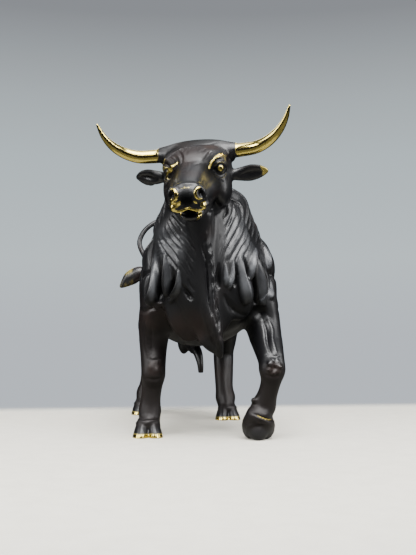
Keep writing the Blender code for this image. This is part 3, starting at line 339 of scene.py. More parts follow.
# The right fore leg stands.
leg(clay, (
    (-4.2, 0.2, 12, 2.2, 3),
    (-4.5, 1, 9.8, 1.95, 2.5),
    (-4.6, 0.9, 7.8, 1.6, 1.75),
    (-4.62, 0.3, 6.2, 1.42, 1.42),
    (-4.65, 0.2, 5.5, 1.42, 1.38),
    (-4.72, 0.5, 4.6, 1.2, 1.16),
    (-4.83, 0.7, 3.4, 1.17, 1.16),
    (-4.9, 0.75, 2.4, 1.36, 1.36),
    (-4.93, 0.45, 1.7, 1.2, 1.22),
    (-4.95, 0.2, 1.1, 1.3, 1.4),
))
hoof(clay, Matrix.Translation((-5.12, 0.1, 0)))
# The left fore leg is bent at the knee, with the hoof on its toe.
leg(clay, (
    (4.4, -0.8, 12, 2.3, 3),
    (4.8, -1, 9.8, 2.05, 2.6),
    (4.9, -2.4, 8.2, 1.75, 1.9),
    (4.9, -3.8, 6.9, 1.5, 1.5),
    (4.9, -4.1, 6, 1.5, 1.45),
    (4.82, -3.9, 5.1, 1.14, 1.15),
    (4.6, -3.5, 4, 1.14, 1.12),
    (4.4, -3.1, 3.15, 1.42, 1.36),
    (4.2, -3, 2.5, 1.3, 1.2),
    (4.1, -3, 2.1, 1.4, 1.3),
))
hang = Matrix.Rotation(math.radians(-12), 4, "Z") @ Matrix.Rotation(math.radians(58), 4, "X")
toe = Matrix.Translation((4.04, -2.5, 1.7)) @ hang
hoof(clay, toe)
ball(clay, (0, -0.22, 0.42), (1.1, 1.68, 0.9), toe)
# The left hind leg is under the body, and the right one is stretched out behind.
leg(clay, (
    (2.6, 16.2, 12.8, 1.8, 3),
    (3.7, 14.6, 10.4, 2.1, 3.3),
    (3.95, 15, 8.8, 1.7, 2.1),
    (3.95, 15.8, 7.4, 1.48, 1.6),
    (3.93, 15.7, 6.4, 1.44, 1.4),
    (3.88, 15.2, 4.8, 1.34, 1.2),
    (3.82, 14.5, 3.4, 1.26, 1.16),
    (3.88, 14.1, 2.45, 1.42, 1.36),
    (3.9, 13.75, 1.75, 1.18, 1.24),
    (3.95, 13.5, 1.1, 1.25, 1.36),
))
ball(clay, (3.7, 16.7, 8.2), (0.5, 0.5, 0.95))
hoof(clay, Matrix.Translation((3.95, 13.35, 0)))
leg(clay, (
    (-2.6, 17, 12.8, 1.8, 3),
    (-3.7, 17, 10.4, 2, 3.2),
    (-3.8, 18.6, 8.9, 1.4, 2),
    (-3.92, 19.8, 7.6, 1.2, 1.6),
    (-3.93, 20.3, 6.5, 1.05, 1.35),
    (-3.9, 20.5, 4.8, 0.98, 1.1),
    (-4, 20.6, 3.6, 1.02, 1.12),
    (-4.15, 20.7, 2.6, 1.32, 1.34),
    (-4.28, 20.45, 1.8, 1.18, 1.24),
    (-4.38, 20.2, 1.1, 1.25, 1.36),
))
ball(clay, (-3.85, 20.8, 8.3), (0.5, 0.5, 0.95))
hoof(clay, Matrix.Translation((-4.4, 20.05, 0)))
print("legs:", len(clay.faces), "faces of clay")

# %% [markdown]
# ## Underside and tail
# The sheath and the scrotum hang between the legs. The tail goes up from the rump, over in one
# loop to the right, and out again in a brush.

# %% Underside and tail
for side in (-1, 1):
    ball(clay, (0.3 + side * 0.5, 17.0, 8.4), (0.72, 0.8, 1.45))
muscle(clay, (0, 16.6, 11.5), (0, 17.0, 8.0), 0.9, 0.9, (0, -1, 0))
sheath = (
    (0, 14, 8.7, 0.6, 0.6),
    (0, 11.5, 7.95, 0.6, 0.55),
    (0.35, 9.8, 7.4, 0.5, 0.5),
    (0.55, 9, 6.3, 0.34, 0.4),
    (0.6, 8.8, 5.3, 0.26, 0.3),
)
limb(clay, sheath, facing=(0, 1, -0.5))
r = TAIL_THICK / U / 2
run = (
    (0, 19.6, 17.4, 1.3 * r, 1.3 * r),
    (0, 21.3, 18.4, 1.9 * r, 1.9 * r),
    (-0.1, 22.3, 19.9, 1.35 * r, 1.35 * r),
    (-0.7, 22.8, 21.5, 1.1 * r, 1.1 * r),
    (-2.2, 23.1, 22.3, r, r),
    (-3.9, 23.2, 21.4, r, r),
    (-4.75, 23.1, 19.8, r, r),
    (-4.3, 22.9, 18.3, r, r),
    (-3.6, 22.8, 17.2, r, r),
    (-3.7, 22.9, 16.4, 1.3 * r, 1.3 * r),
    (-4.7, 23.1, 16.2, 2.6 * r, 2.4 * r),
    (-5.7, 23.3, 15.6, 2.9 * r, 2.3 * r),
    (-6.5, 23.5, 14.9, 1.6 * r, 1.3 * r),
    (-6.95, 23.6, 14.5, 0.5 * r, 0.5 * r),
)
limb(clay, run, facing=(0, 1, 0), per_span=6)
print("underside and tail:", len(clay.faces), "faces of clay")

# %% [markdown]
# ## Head, horns and ears
# The skull is built from lumps and bars in the head's own frame. The horns sweep out level and
# then turn up, and each ear is a flat leaf that will be hollowed by a stroke later.

# %% Head, horns and ears


def lump(place, radii):
    ball(clay, place, radii, HEAD)


def bar(rows):
    limb(clay, rows, (0, 0, 1), frame=HEAD)


lump((0.1, -1.7, -2.2), (2.8, 2.7, 2.15))
# The poll, a flat-topped bar from horn to horn, and the forehead under it.
bar((
    (-3.1, -0.8, -0.92, 0.75, 0.8),
    (-1.6, -0.6, -0.75, 1, 0.85),
    (0, -0.5, -0.68, 1.15, 0.85),
    (1.6, -0.6, -0.75, 1, 0.85),
    (3.1, -0.8, -0.92, 0.75, 0.8),
))
lump((0, -2.0, -0.9), (2.65, 2.6, 1.0))
bar((
    (0, -2.6, -1.15, 1.9, 0.95),
    (0, -5, -1.35, 1.3, 0.8),
    (0, -7.2, -1.68, 1.08, 0.76),
    (0, -8.2, -1.85, 0.95, 0.66),
))
bar((
    (0, -2.6, -2.7, 2.4, 1.6),
    (0, -4.6, -2.5, 2.15, 1.6),
    (0, -6.2, -2.5, 1.72, 1.45),
    (0, -7.4, -2.45, 1.42, 1.1),
))
# The muzzle, its upper lip, the jaw and the chin.
lump((0, -7.9, -2.1), (1.42, 0.95, 1.1))
lump((0, -7.85, -2.8), (1.62, 0.88, 0.62))
bar(((0, -2.4, -4.0, 1.7, 1.2), (0, -5.2, -3.85, 1.2, 0.8), (0, -7.4, -3.65, 0.95, 0.6)))
lump((0, -7.3, -3.75), (0.95, 0.75, 0.6))
for side in (-1, 1):
    lump((side * 1.95, -2.9, -1.3), (0.72, 1.1, 0.85))
    lump((side * 2.0, -2.7, -3.2), (0.8, 2.0, 1.6))
    lump((side * 0.95, -8.2, -1.8), (0.55, 0.6, 0.6))
root, tip = HORN_ROOT / U / 2, HORN_TIP / U / 2
curve = (
    # out from the middle of the head, forward, up, share of the way from root to tip thickness
    (2.2, -0.85, -0.8, 0),
    (3.6, -0.9, -0.78, 0.04),
    (4.9, -1.1, -0.62, 0.12),
    (5.95, -1.4, -0.1, 0.26),
    (6.8, -1.7, 0.68, 0.47),
    (7.4, -1.8, 1.6, 0.72),
    (7.8, -1.75, 2.65, 1),
)
for side in (-1, 1):
    # The left horn carries a little higher than the right.
    lift = side * 0.035
    thick = [root + (tip - root) * row[3] for row in curve]
    rows = [(side * x, y, z + lift * (x - 3), r, r) for (x, y, z, _), r in zip(curve, thick)]
    limb(clay, rows, facing=(0, -1, 0), per_span=6, frame=HEAD)
leaf = (
    # share of the way to the tip, half width, half thickness
    (0, 0.45, 0.42),
    (0.25, 0.66, 0.36),
    (0.5, 0.84, 0.28),
    (0.75, 0.7, 0.24),
    (0.93, 0.36, 0.18),
    (1, 0.15, 0.12),
)
for side in (-1, 1):
    root = Vector((side * 2.75, -1.9, -2.42 - side * 0.1))
    way = Vector((side * 0.92, 0.3, -0.04)).normalized() * EAR_LENGTH / U * (1 if side > 0 else 0.88)
    rows = [(*(root + way * along), wide, thick) for along, wide, thick in leaf]
    limb(clay, rows, facing=(0, -1, -0.35), frame=HEAD)
print("head:", len(clay.faces), "faces of clay")

# %% [markdown]
# ## One skin
# A voxel remesh fuses all the overlapping masses into one closed skin of even cells, as a
# modeller's thumb would. Evenness matters more than economy here, since every later stroke
# moves the points of this skin.

# %% Fuse


def modified(mesh, kind, **settings):
    """The mesh as one modifier leaves it."""
    carrier = in_scene("carrier", mesh)
    modifier = carrier.modifiers.new("only", kind)
    for name, value in settings.items():
        setattr(modifier, name, value)
    graph = bpy.context.evaluated_depsgraph_get()
    made = bpy.data.meshes.new_from_object(carrier.evaluated_get(graph))
    bpy.data.objects.remove(carrier)
    return made


clay_mesh = bpy.data.meshes.new("clay")
clay.to_mesh(clay_mesh)
clay.free()
skin_mesh = modified(clay_mesh, "REMESH", mode="VOXEL", voxel_size=GRAIN, adaptivity=0.0)
print("skin:", len(skin_mesh.vertices), "points")

# %% [markdown]
# ## Softening
# The remeshed skin still shows where one ball meets the next. Moving every point towards its
# neighbours melts the masses together, and an amount given for each point keeps the horns, the
# ears and the hooves crisp while the big body goes soft.

# %% Soften


def vectors(items, name):
    flat = np.empty(len(items) * 3, np.float32)
    items.foreach_get(name, flat)
    return flat.reshape(-1, 3).astype(float)


def points_of(mesh):
    return vectors(mesh.vertices, "co")


def normals_of(mesh):
    return vectors(mesh.vertex_normals, "vector")


def put_points(mesh, points):
    mesh.vertices.foreach_set("co", points.astype(np.float32).ravel())
    mesh.update()


def in_frame(points, frame):
    """Points read in a frame's own axes."""
    back = np.array(frame.inverted())
    return points @ back[:3, :3].T + back[:3, 3]


def softness(points):
    """How far the skin is softened at each point, in units."""
    x, y, z = points.T
    soft = np.where(z < 8.6, SOFT_LEG, SOFT_BODY)
    u, v, w = in_frame(points, HEAD).T
    soft = np.where((v < 1.0) & (w > -5.2) & (y < -3.0) & (z > 17), SOFT_HEAD, soft)
    horn_or_ear = (np.abs(u) > 3.1) & (v < 1.6) & (w > -3.4) & (z > 19)
    fine = (z < 1.9) | horn_or_ear | (y > 21.8) | ((z < 7.2) & (np.abs(x) < 1.2))
    return np.where(fine, SOFT_FINE, soft)


def soften(mesh, amount, grain):
    """Move every point towards its neighbours, by an amount that is given for each."""
    pairs = np.empty(len(mesh.edges) * 2, np.int32)
    mesh.edges.foreach_get("vertices", pairs)
    first, second = pairs.reshape(-1, 2).T
    ends = np.concatenate([first, second])
    others = np.concatenate([second, first])
    points = points_of(mesh)
    count = np.bincount(ends, minlength=len(points))
    rounds = max(1, int(np.ceil((np.max(amount) / (0.5 * grain)) ** 2)))
    rate = 0.5 * (amount / np.max(amount))[:, None] ** 2
    for _ in range(rounds):
        around = np.stack([np.bincount(ends, points[others, k], len(points)) for k in range(3)], 1)
        points += rate * (around / count[:, None] - points)
    put_points(mesh, points)


soften(skin_mesh, softness(points_of(skin_mesh)), GRAIN)
print("softened")

# %% [markdown]
# ## Strokes
# Fine form is drawn, not placed: a stroke is a short line of marks on a flat view of the bull.
# It is thrown onto the skin along the view, and the points near it are pushed in or out along
# their own normals, with a section that says how the lift runs from one side to the other.

# %% Stroke tools
# A side to draw from: the ways across, up and out, how far out to start, and the origin.
FRONT = (Vector((1, 0, 0)), Vector((0, 0, 1)), Vector((0, -1, 0)), 40, Vector())
THROAT = (*FRONT[:3], 7.2, Vector())
LEFT = (Vector((0, 1, 0)), Vector((0, 0, 1)), Vector((1, 0, 0)), 40, Vector())
RIGHT = (*LEFT[:2], Vector((-1, 0, 0)), 40, Vector())


def head_side(across, up, out, origin=POLL):
    """A side of the head to draw from."""
    turn = HEAD.to_3x3()
    return (turn @ Vector(across), turn @ Vector(up), turn @ Vector(out), 14, origin)


FACE = head_side((1, 0, 0), (0, 1, 0), (0, 0, 1))
NOSE = head_side((1, 0, 0), (0, 0, 1), (0, -1, 0))

# Sections of a stroke: how far it lifts the skin at places from one side to the other.
RIDGE = ((-1, -0.5, 0, 0.5, 1), (0, 0.45, 1, 0.45, 0))
GROOVE = ((-1, -0.5, 0, 0.5, 1), (0, -0.3, -1, -0.3, 0))
PIT = ((-1, -0.6, 0, 0.6, 1), (0, -0.85, -1, -0.85, 0))
LOBE = ((-1, -0.7, 0, 0.7, 1), (0, 0.6, 1, 0.6, 0))
FOLD = ((-1, -0.4, -0.1, 0.15, 0.4, 1), (0, -0.3, -0.55, 0.7, 0.8, 0))

# How far behind the nearest mark of a stroke another may lie.
SLIP = 2.6


class Skin:
    """A skin under the tool: its points, and the surface as it was when the pass began."""

    def __init__(self, mesh):
        self.mesh = mesh
        self.begin()

    def begin(self):
        self.points = points_of(self.mesh)
        self.normals = normals_of(self.mesh)
        self.lift = np.zeros(len(self.points))
        faces = np.empty(len(self.mesh.loops), np.int32)
        self.mesh.loops.foreach_get("vertex_index", faces)
        corners = len(faces) // len(self.mesh.polygons)
        self.tree = BVHTree.FromPolygons(self.points.tolist(), faces.reshape(-1, corners).tolist())

    def finish(self):
        put_points(self.mesh, self.points + self.normals * self.lift[:, None])

    def most(self):
        """The greatest lift so far, in mm."""
        return round(float(np.abs(self.lift).max() * U * 1000), 2)

    def lay(self, marks, view):
        """Marks drawn flat, as places and normals on the skin."""
        across, up, out, reach, origin = view
        found = []
        for u, v in smooth_rows(marks, 6):
            hit, normal, _, _ = self.tree.ray_cast(origin + across * u + up * v + out * reach, -out)
            if hit is not None:
                found.append((*hit, *normal))
        # A mark that slips off an edge lands far behind the others.
        near = max((Vector(place[:3]).dot(out) for place in found), default=0.0) - SLIP
        return np.array([place for place in found if Vector(place[:3]).dot(out) > near])

    def stroke(self, marks, view, wide, high, section=RIDGE, blunt=0.0, lean=1.0):
        """One stroke of a half width and a height, tapering at both ends unless blunt.

        Lean above 1 puts its fullest part nearer the end.
        """
        laid = self.lay(marks, view)
        if len(laid) < 2:
            return
        places, normals = laid[:, :3], laid[:, 3:]
        steps = places[1:] - places[:-1]
        lengths = np.linalg.norm(steps, axis=1) + 1e-9
        start = np.concatenate([[0], np.cumsum(lengths)])
        lowest, highest = places.min(0) - wide, places.max(0) + wide
        near = np.nonzero(np.all((self.points > lowest) & (self.points < highest), axis=1))[0]
        best = np.full(len(near), 1e9)
        side = np.zeros(len(near))
        along = np.zeros(len(near))
        facing = np.zeros(len(near))
        hand = 1.0 if view[0].cross(view[1]).dot(view[2]) > 0 else -1.0
        for i, step in enumerate(steps):
            away = self.points[near] - places[i]
            share = np.clip(away @ step / lengths[i] ** 2, 0, 1)
            gap = away - share[:, None] * step
            far = np.linalg.norm(gap, axis=1)
            left = np.cross(normals[i], step / lengths[i])
            closer = far < best
            best = np.where(closer, far, best)
            side = np.where(closer, np.sign(gap @ left) * hand, side)
            along = np.where(closer, start[i] + share * lengths[i], along)
            facing = np.where(closer, self.normals[near] @ normals[i], facing)
        share = along / start[-1]
        taper = np.sqrt(np.clip(np.sin(np.pi * share**lean), 0, 1)) * (1 - blunt) + blunt
        spread = wide * (0.35 + 0.65 * taper)
        lift = np.interp(side * best / spread, *section) * high * taper
        self.lift[near] += np.where((best < spread) & (facing > 0.2), lift, 0)

    def draw(self, rows, view, section, lean=1.0):
        """Strokes of one kind from one side, each given as marks, half width and height."""
        for marks, wide, high in rows:
            self.stroke(marks, view, wide, high, section, lean=lean)

    def comb(self, first, last, count, view, wide, high, section=RIDGE, sway=0.0):
        """Strokes side by side, running evenly from the first set of marks to the last."""
        first, last = np.array(first, float), np.array(last, float)
        for i, t in enumerate(np.linspace(0, 1, count)):
            marks = first + (last - first) * t
            marks = marks + sway * np.sin(2.4 * i + np.arange(len(marks)))[:, None]
            self.stroke(marks, view, wide * (1 + 0.25 * math.sin(1.9 * i)), high, section)

    def dab(self, place, view, radii, high, power=2.0):
        """One round push, in or out."""
        across, up, out, reach, origin = view
        start = origin + across * place[0] + up * place[1] + out * reach
        hit, _, _, _ = self.tree.ray_cast(start, -out)
        if hit is None:
            return
        away = self.points - np.array(hit)
        u, v, w = (away @ np.array(way) for way in view[:3])
        far = np.sqrt((u / radii[0]) ** 2 + (v / radii[1]) ** 2)
        inside = (far < 1) & (np.abs(w) < 1.5) & (self.normals @ np.array(out) > 0.0)
        self.lift += np.where(inside, high * np.clip(1 - far**2, 0, 1) ** power, 0)


print("stroke tools ready")

# %% [markdown]
# ## First pass: the broad forms
# The keel and the long lobes that hang over the breast, the shoulder blade, the ribs, the thigh,
# and the hollows that the eyes sit in.

# %% First pass
HANG = 1.9  # the lean of a lobe: it is fullest near its lower end
skin = Skin(skin_mesh)
keel = (
    (-1.35, 16.4), (-1.25, 15.8), (-0.97, 15.1), (-0.86, 14.2), (-0.79, 13.2), (-0.73, 11.9),
    (-0.45, 10.4),
)
skin.stroke([(x + 0.34, z) for x, z in keel], FRONT, 0.26, 0.16, RIDGE)
skin.stroke(keel, FRONT, 0.17, 0.32, GROOVE)
skin.stroke(((-0.45, 10.6), (-0.1, 9.2), (0.25, 7.9)), FRONT, 0.3, 0.14, RIDGE)
skin.stroke(((-0.2, 11.4), (0.15, 10.3), (0.2, 9.0)), FRONT, 0.25, 0.16, FOLD)
lobes = (
    # marks, half width, height
    (((-4.75, 15.8), (-4.78, 14.2), (-4.86, 13), (-5.05, 11.7)), 0.5, 0.66),
    (((-4.12, 16), (-3.88, 14.4), (-3.8, 13.2), (-3.84, 12.2)), 0.42, 0.66),
    (((-3.1, 14.6), (-2.98, 13.4), (-3.1, 12.5), (-3.6, 11.7)), 0.32, 0.6),
    (((0.7, 14.9), (0.8, 14), (0.84, 12.9)), 0.28, 0.32),
    (((1.45, 15.3), (1.38, 14), (1.1, 12.7)), 0.28, 0.34),
    (((2.05, 15.6), (2.2, 14.2), (2.45, 12.9), (2.75, 11.5)), 0.66, 0.92),
    (((3.8, 16.4), (3.25, 15.1), (2.95, 13.5)), 0.38, 0.56),
    (((3.8, 15.6), (4.05, 14.2), (4.28, 13), (4.4, 11.4)), 0.44, 0.62),
    (((4.85, 17), (5.15, 16), (5.25, 14.7)), 0.46, 0.36),
    (((5.05, 14.2), (5.25, 13.2), (5.1, 12)), 0.42, 0.36),
)
pockets = (
    (((-4.34, 15), (-4.29, 13.8), (-4.28, 12.7), (-4.35, 11.7)), 0.38, 0.85),
    (((-3.46, 14.6), (-3.38, 13.6), (-3.46, 12.6), (-3.55, 12.1)), 0.27, 0.55),
    (((-2.75, 13.1), (-2.42, 12.5), (-1.95, 11.8)), 0.26, 0.34),
    (((0.16, 14.8), (0.13, 13.8), (0.16, 12.7)), 0.28, 0.38),
    (((1.7, 14.9), (1.66, 13.9), (1.55, 12.9)), 0.2, 0.3),
    (((2.42, 15.6), (2.55, 14.6), (2.68, 13.5)), 0.25, 0.46),
    (((3.32, 14.6), (3.45, 13.5), (3.62, 12.4), (3.75, 11.5)), 0.34, 0.85),
)
creases = (
    (((-4.8, 15.6), (-5.2, 14.1), (-5.42, 13), (-5.44, 12)), 0.24, 0.22),
    (((-2.29, 13.5), (-2.06, 12.9), (-1.75, 12.5)), 0.18, 0.12),
    (((4, 15.4), (4.4, 14.4), (4.74, 13.6), (4.8, 12.4)), 0.24, 0.34),
    (((4.8, 14.5), (5.2, 14.35), (5.6, 14.1)), 0.2, 0.26),
    (((0.6, 12.3), (1.4, 11.2), (2.6, 10.6), (3.5, 11)), 0.5, 0.2),
)
skin.draw(lobes, FRONT, LOBE, lean=HANG)
skin.draw(pockets, FRONT, PIT, lean=HANG)
skin.draw(creases, FRONT, GROOVE)
skin.dab((4.1, 10.9), FRONT, (0.9, 0.8), -0.45)
# Knots along the keel.
for x, z, size in (
    (-0.85, 16.2, 0.3), (-0.6, 15.5, 0.24), (-0.95, 14.9, 0.2), (-0.45, 14.6, 0.24),
    (-0.42, 13.6, 0.22), (-0.4, 12.7, 0.26), (-0.12, 11.6, 0.3), (0.05, 10.5, 0.34),
):
    skin.dab((x, z), FRONT, (size, 1.8 * size), 0.08)
grooves = (
    # Behind the shoulder blade, before it, under it and over the elbow.
    (((3.4, 20.2), (4.7, 17.4), (4.3, 14), (2.9, 10.4)), 0.55, 0.3),
    (((0.6, 20.6), (-0.7, 17.4), (-1.6, 15)), 0.42, 0.26),
    (((3, 16.8), (2, 14.2), (0.6, 12.2)), 0.45, 0.22),
    (((-2.2, 14.4), (-0.8, 14.1), (0.8, 13.4)), 0.36, 0.18),
    (((-2, 11.5), (-0.8, 11), (0.9, 11.4)), 0.36, 0.16),
    # Before the thigh, behind it, on it and over the hip.
    (((14.2, 16), (13.4, 13.4), (13.3, 11)), 0.4, 0.24),
    (((19.4, 17.2), (18.7, 14.2), (17.6, 11.2), (17.2, 9.8)), 0.42, 0.28),
    (((16.9, 17.4), (15.9, 14.4), (15.2, 11.6)), 0.4, 0.14),
    (((15.6, 16.8), (16.6, 18.2), (18.6, 18)), 0.4, 0.14),
)
for side in (LEFT, RIGHT):
    skin.draw(grooves, side, GROOVE)
    skin.stroke(((2.3, 20.3), (0.7, 17.0), (-0.7, 14.4)), side, 0.45, 0.2, RIDGE)
    # Ribs, the fold of the flank and the hollow before the hip.
    skin.comb(((6.4, 17.4), (6.7, 14.4), (7.0, 11.0)), ((12.0, 17.0), (12.3, 14.4), (11.6, 11.4)), 5,
              side, 0.55, 0.055, GROOVE, sway=0.12)
    skin.stroke(((4.2, 9.6), (7.5, 8.9), (10.8, 9.6), (13.0, 11.6)), side, 0.5, 0.2, FOLD)
    skin.dab((12.9, 16.2), side, (1.7, 1.5), -0.35)


def eye_side(s):
    """The eye's own side to draw from."""
    look = Vector((s * 0.6, -0.74, 0.3)).normalized()
    across = Vector((0, 0, 1)).cross(look).normalized() * s
    centre = HEAD @ Vector((s * 2.12, -3.8, -1.44 + s * 0.08))
    return head_side(across, look.cross(across) * s, look, centre)


BROW = ((-1.0, 0.3), (-0.57, 0.72), (-0.1, 0.95), (0.5, 1.05), (0.85, 1.0))
for s in (-1, 1):
    view = eye_side(s)
    skin.dab((0, 0), view, (0.9, 0.78), -0.3)
    skin.stroke(BROW, view, 0.34, 0.3, RIDGE)
    skin.stroke(((-0.8, -0.55), (-0.1, -0.8), (0.7, -0.55)), view, 0.3, 0.1, RIDGE)
skin.stroke(((-2.3, -2.9), (-1.7, -2.2), (-1.1, -1.45), (0.1, -1.2), (1.1, -1.1), (1.8, -0.9)),
            FACE, 0.34, 0.14, GROOVE)
roll = ((-2.6, -0.9), (-1.3, -0.6), (0, -0.5), (1.3, -0.5), (2.5, -0.7))
skin.stroke(roll, FACE, 0.5, 0.1, RIDGE)
skin.stroke(((-0.9, -3.5), (0, -3.42), (0.9, -3.5)), NOSE, 0.34, 0.34, PIT, 0.4)
skin.finish()
print("first pass lifts the skin by up to", skin.most(), "mm")

# %% [markdown]
# ## Second pass: folds, cords and features
# The loose skin of the neck, the knees and tendons, and the face.

# %% Second pass


def strands(skin, lines, view, wide, deep, swell):
    """A dark crease along each line, and the skin between two creases swelling a little."""
    for line in lines:
        skin.stroke(line, view, wide, deep, GROOVE)
    for before, after in zip(lines, lines[1:]):
        share = np.linspace(0, 1, 4)
        ends = [smooth_rows(line, 8) for line in (before, after)]
        between = [np.mean([end[int(t * (len(end) - 1))] for end in ends], 0) for t in share]
        skin.stroke(between, view, 1.5 * wide, swell, RIDGE)


skin = Skin(skin_mesh)
strands(skin, (
    ((-3.63, 18.6), (-3.25, 18), (-2.77, 17.4)),
    ((-3.8, 18.3), (-3.5, 17.6), (-3.02, 16.9)),
    ((-3.94, 18.1), (-3.72, 17.5), (-3.34, 16.9), (-2.92, 16.3)),
    ((-4.15, 17.8), (-3.98, 17.2), (-3.6, 16.6), (-3.05, 15.8)),
    ((-4.42, 17.3), (-4.21, 16.7), (-3.73, 16.1), (-3.33, 15.5), (-3.05, 14.9)),
    ((-4.63, 17), (-4.32, 16.2), (-3.9, 15.5), (-3.45, 14.8), (-2.9, 14)),
), THROAT, 0.19, 0.2, 0.1)
strands(skin, (
    ((-2.42, 16.7), (-2.08, 16.1), (-1.8, 15.4)),
    ((-2.64, 16.6), (-2.33, 15.8), (-2, 14.9)),
    ((-2.8, 16.3), (-2.5, 15.4), (-2.1, 14.3), (-1.64, 13.3)),
), THROAT, 0.15, 0.1, 0.03)
strands(skin, (
    ((1, 19.6), (0.85, 19), (0.55, 18.4)),
    ((1.55, 19.8), (1.5, 19.1), (1.1, 18.2), (0.7, 17.5)),
    ((2, 19.6), (1.75, 18.7), (1.3, 17.7), (0.75, 16.6)),
    ((2.51, 18.9), (2, 17.8), (1.4, 16.8), (0.63, 15.4)),
    ((2.8, 18.1), (2.35, 17), (1.8, 16.1), (1.05, 14.9)),
    ((3.14, 17.8), (2.8, 16.9), (2.2, 16.1), (1.65, 15)),
    ((3.4, 17.1), (2.95, 16.2), (2.5, 15.5), (2.25, 15)),
), FRONT, 0.19, 0.2, 0.1)
for side in (LEFT, RIGHT):
    skin.comb(((1.8, 20.6), (0.0, 18.2), (-2.0, 16.4)), ((-2.8, 22.2), (-3.7, 20.6), (-4.4, 18.6)), 6,
              side, 0.42, 0.16, FOLD, sway=0.08)
    skin.comb(((1.0, 22.0), (0.5, 21.2), (-0.4, 20.2)), ((-3.0, 23.4), (-3.3, 22.6), (-3.9, 21.6)), 4,
              side, 0.34, 0.12, FOLD, sway=0.06)
# The coronet of the lifted hoof, whose worn edge is painted later.
CORONET = ((3.15, 2.6), (3.6, 2.42), (4.4, 2.08), (5.3, 1.95))
# The cords of the forearms.
skin.draw((
    (((4.75, 10.6), (5.1, 9.6), (5, 8.4), (5.2, 7.2)), 0.26, 0.2),
    (((-5.35, 10.2), (-5.3, 8.6), (-5.15, 7.2)), 0.26, 0.16),
), FRONT, RIDGE)
skin.draw((
    (((4.4, 10.4), (4.6, 9.4), (4.55, 8.2), (4.8, 7.2)), 0.24, 0.2),
    (((-4.9, 10), (-4.85, 8.4), (-4.75, 7)), 0.24, 0.14),
), FRONT, GROOVE)
# Two knees, with a knuckle on each side and a crease below and above.
for x, z, high in ((4.9, 6.5, 0.13), (-4.65, 6.1, 0.07)):
    skin.dab((x - 0.3, z + 0.2), FRONT, (0.42, 0.5), high)
    skin.dab((x + 0.35, z - 0.1), FRONT, (0.4, 0.45), high)
    skin.stroke(((x - 0.8, z - 0.75), (x, z - 0.9), (x + 0.8, z - 0.75)), FRONT, 0.2, 0.1, GROOVE)
    skin.stroke(((x - 0.7, z + 0.9), (x, z + 0.75), (x + 0.7, z + 0.9)), FRONT, 0.2, 0.08, GROOVE)
skin.stroke(CORONET, FRONT, 0.16, 0.14, GROOVE)
skin.stroke([(x + 0.05, z - 0.22) for x, z in CORONET], FRONT, 0.16, 0.08, RIDGE)
# Tendons down the backs of the cannons, seen from either side.
cannons = (
    # side, y, top, foot
    (LEFT, -2.95, 4.9, 3.6),
    (LEFT, 15.6, 5.8, 3.4),
    (RIGHT, 0.95, 4.8, 3),
    (RIGHT, 20.85, 5.8, 3.4),
)
for side, y, top, foot in cannons:
    skin.stroke(((y, top), (y - 0.05, (top + foot) / 2), (y, foot)), side, 0.2, 0.12, GROOVE)
for x, y in ((-4.98, 0.1), (3.95, 13.35), (-4.4, 20.05)):
    skin.stroke(((x - 1.1, 1.45), (x, 1.75), (x + 1.1, 1.45)), FRONT, 0.16, 0.08, RIDGE, blunt=0.6)
    side = LEFT if x > 0 else RIGHT
    skin.stroke(((y - 1.0, 1.65), (y, 1.5), (y + 0.7, 1.25)), side, 0.16, 0.08, RIDGE, blunt=0.6)
skin.comb(((-3.7, 16.6), (-4.9, 16.7), (-6.6, 15.1)), ((-4.0, 15.8), (-5.2, 15.3), (-6.6, 14.7)), 5,
          FRONT, 0.16, 0.08, GROOVE, sway=0.03)
print("neck, legs and tail drawn")

# %% [markdown]
# ## The face
# The face is drawn from four sides: from each eye's own side, from the nose, and from above the
# forehead. Marks that the paint will need again have names.

# %% Face
UPPER_LID = ((-0.6, 0.12), (-0.3, 0.4), (0.07, 0.5), (0.42, 0.32), (0.62, -0.02))
LOWER_LID = ((-0.45, -0.02), (-0.25, -0.26), (0.08, -0.4), (0.4, -0.32), (0.6, -0.08))
LIP = (
    (-1.35, -2.95), (-0.8, -3.12), (-0.37, -2.97), (0, -2.82), (0.17, -2.83), (0.43, -2.97),
    (0.8, -3.15), (1.25, -2.98),
)
NOSTRIL = ((1.12, -1.34), (0.92, -1.32), (0.73, -1.52), (0.72, -1.8), (0.88, -2.08), (1.18, -2.16))
FOREHEAD = (
    # marks, half width, depth
    (((-1.29, -2.6), (-0.9, -3.5), (-0.8, -4.1), (-0.86, -4.5)), 0.16, 0.14),
    (((-1.65, -3.1), (-1.24, -3.75), (-1.16, -4.2), (-1.26, -4.5)), 0.16, 0.14),
    (((-1.88, -3.2), (-1.52, -3.8), (-1.46, -4.3)), 0.15, 0.12),
    (((-0.13, -4.2), (0.02, -5.4), (-0.07, -6.4)), 0.1, 0.04),
    (((-0.8, -4.3), (-0.45, -4.4), (-0.14, -4.5)), 0.11, 0.045),
    (((-0.85, -4.9), (-0.5, -5), (-0.12, -5.1)), 0.11, 0.045),
    (((-0.72, -5.5), (-0.45, -5.6), (-0.14, -5.7)), 0.11, 0.045),
    (((-0.55, -6.1), (-0.3, -6.2), (-0.06, -6.3)), 0.11, 0.04),
    (((0.21, -5), (0.59, -4.65), (0.94, -4.3)), 0.12, 0.08),
    (((1.42, -2.9), (1.19, -3.6), (0.9, -4.25)), 0.17, 0.18),
    (((1.02, -2.4), (0.85, -2.8), (0.62, -3.3)), 0.14, 0.07),
    (((-0.6, -2), (-0.1, -1.8), (0.5, -1.9)), 0.12, 0.05),
)
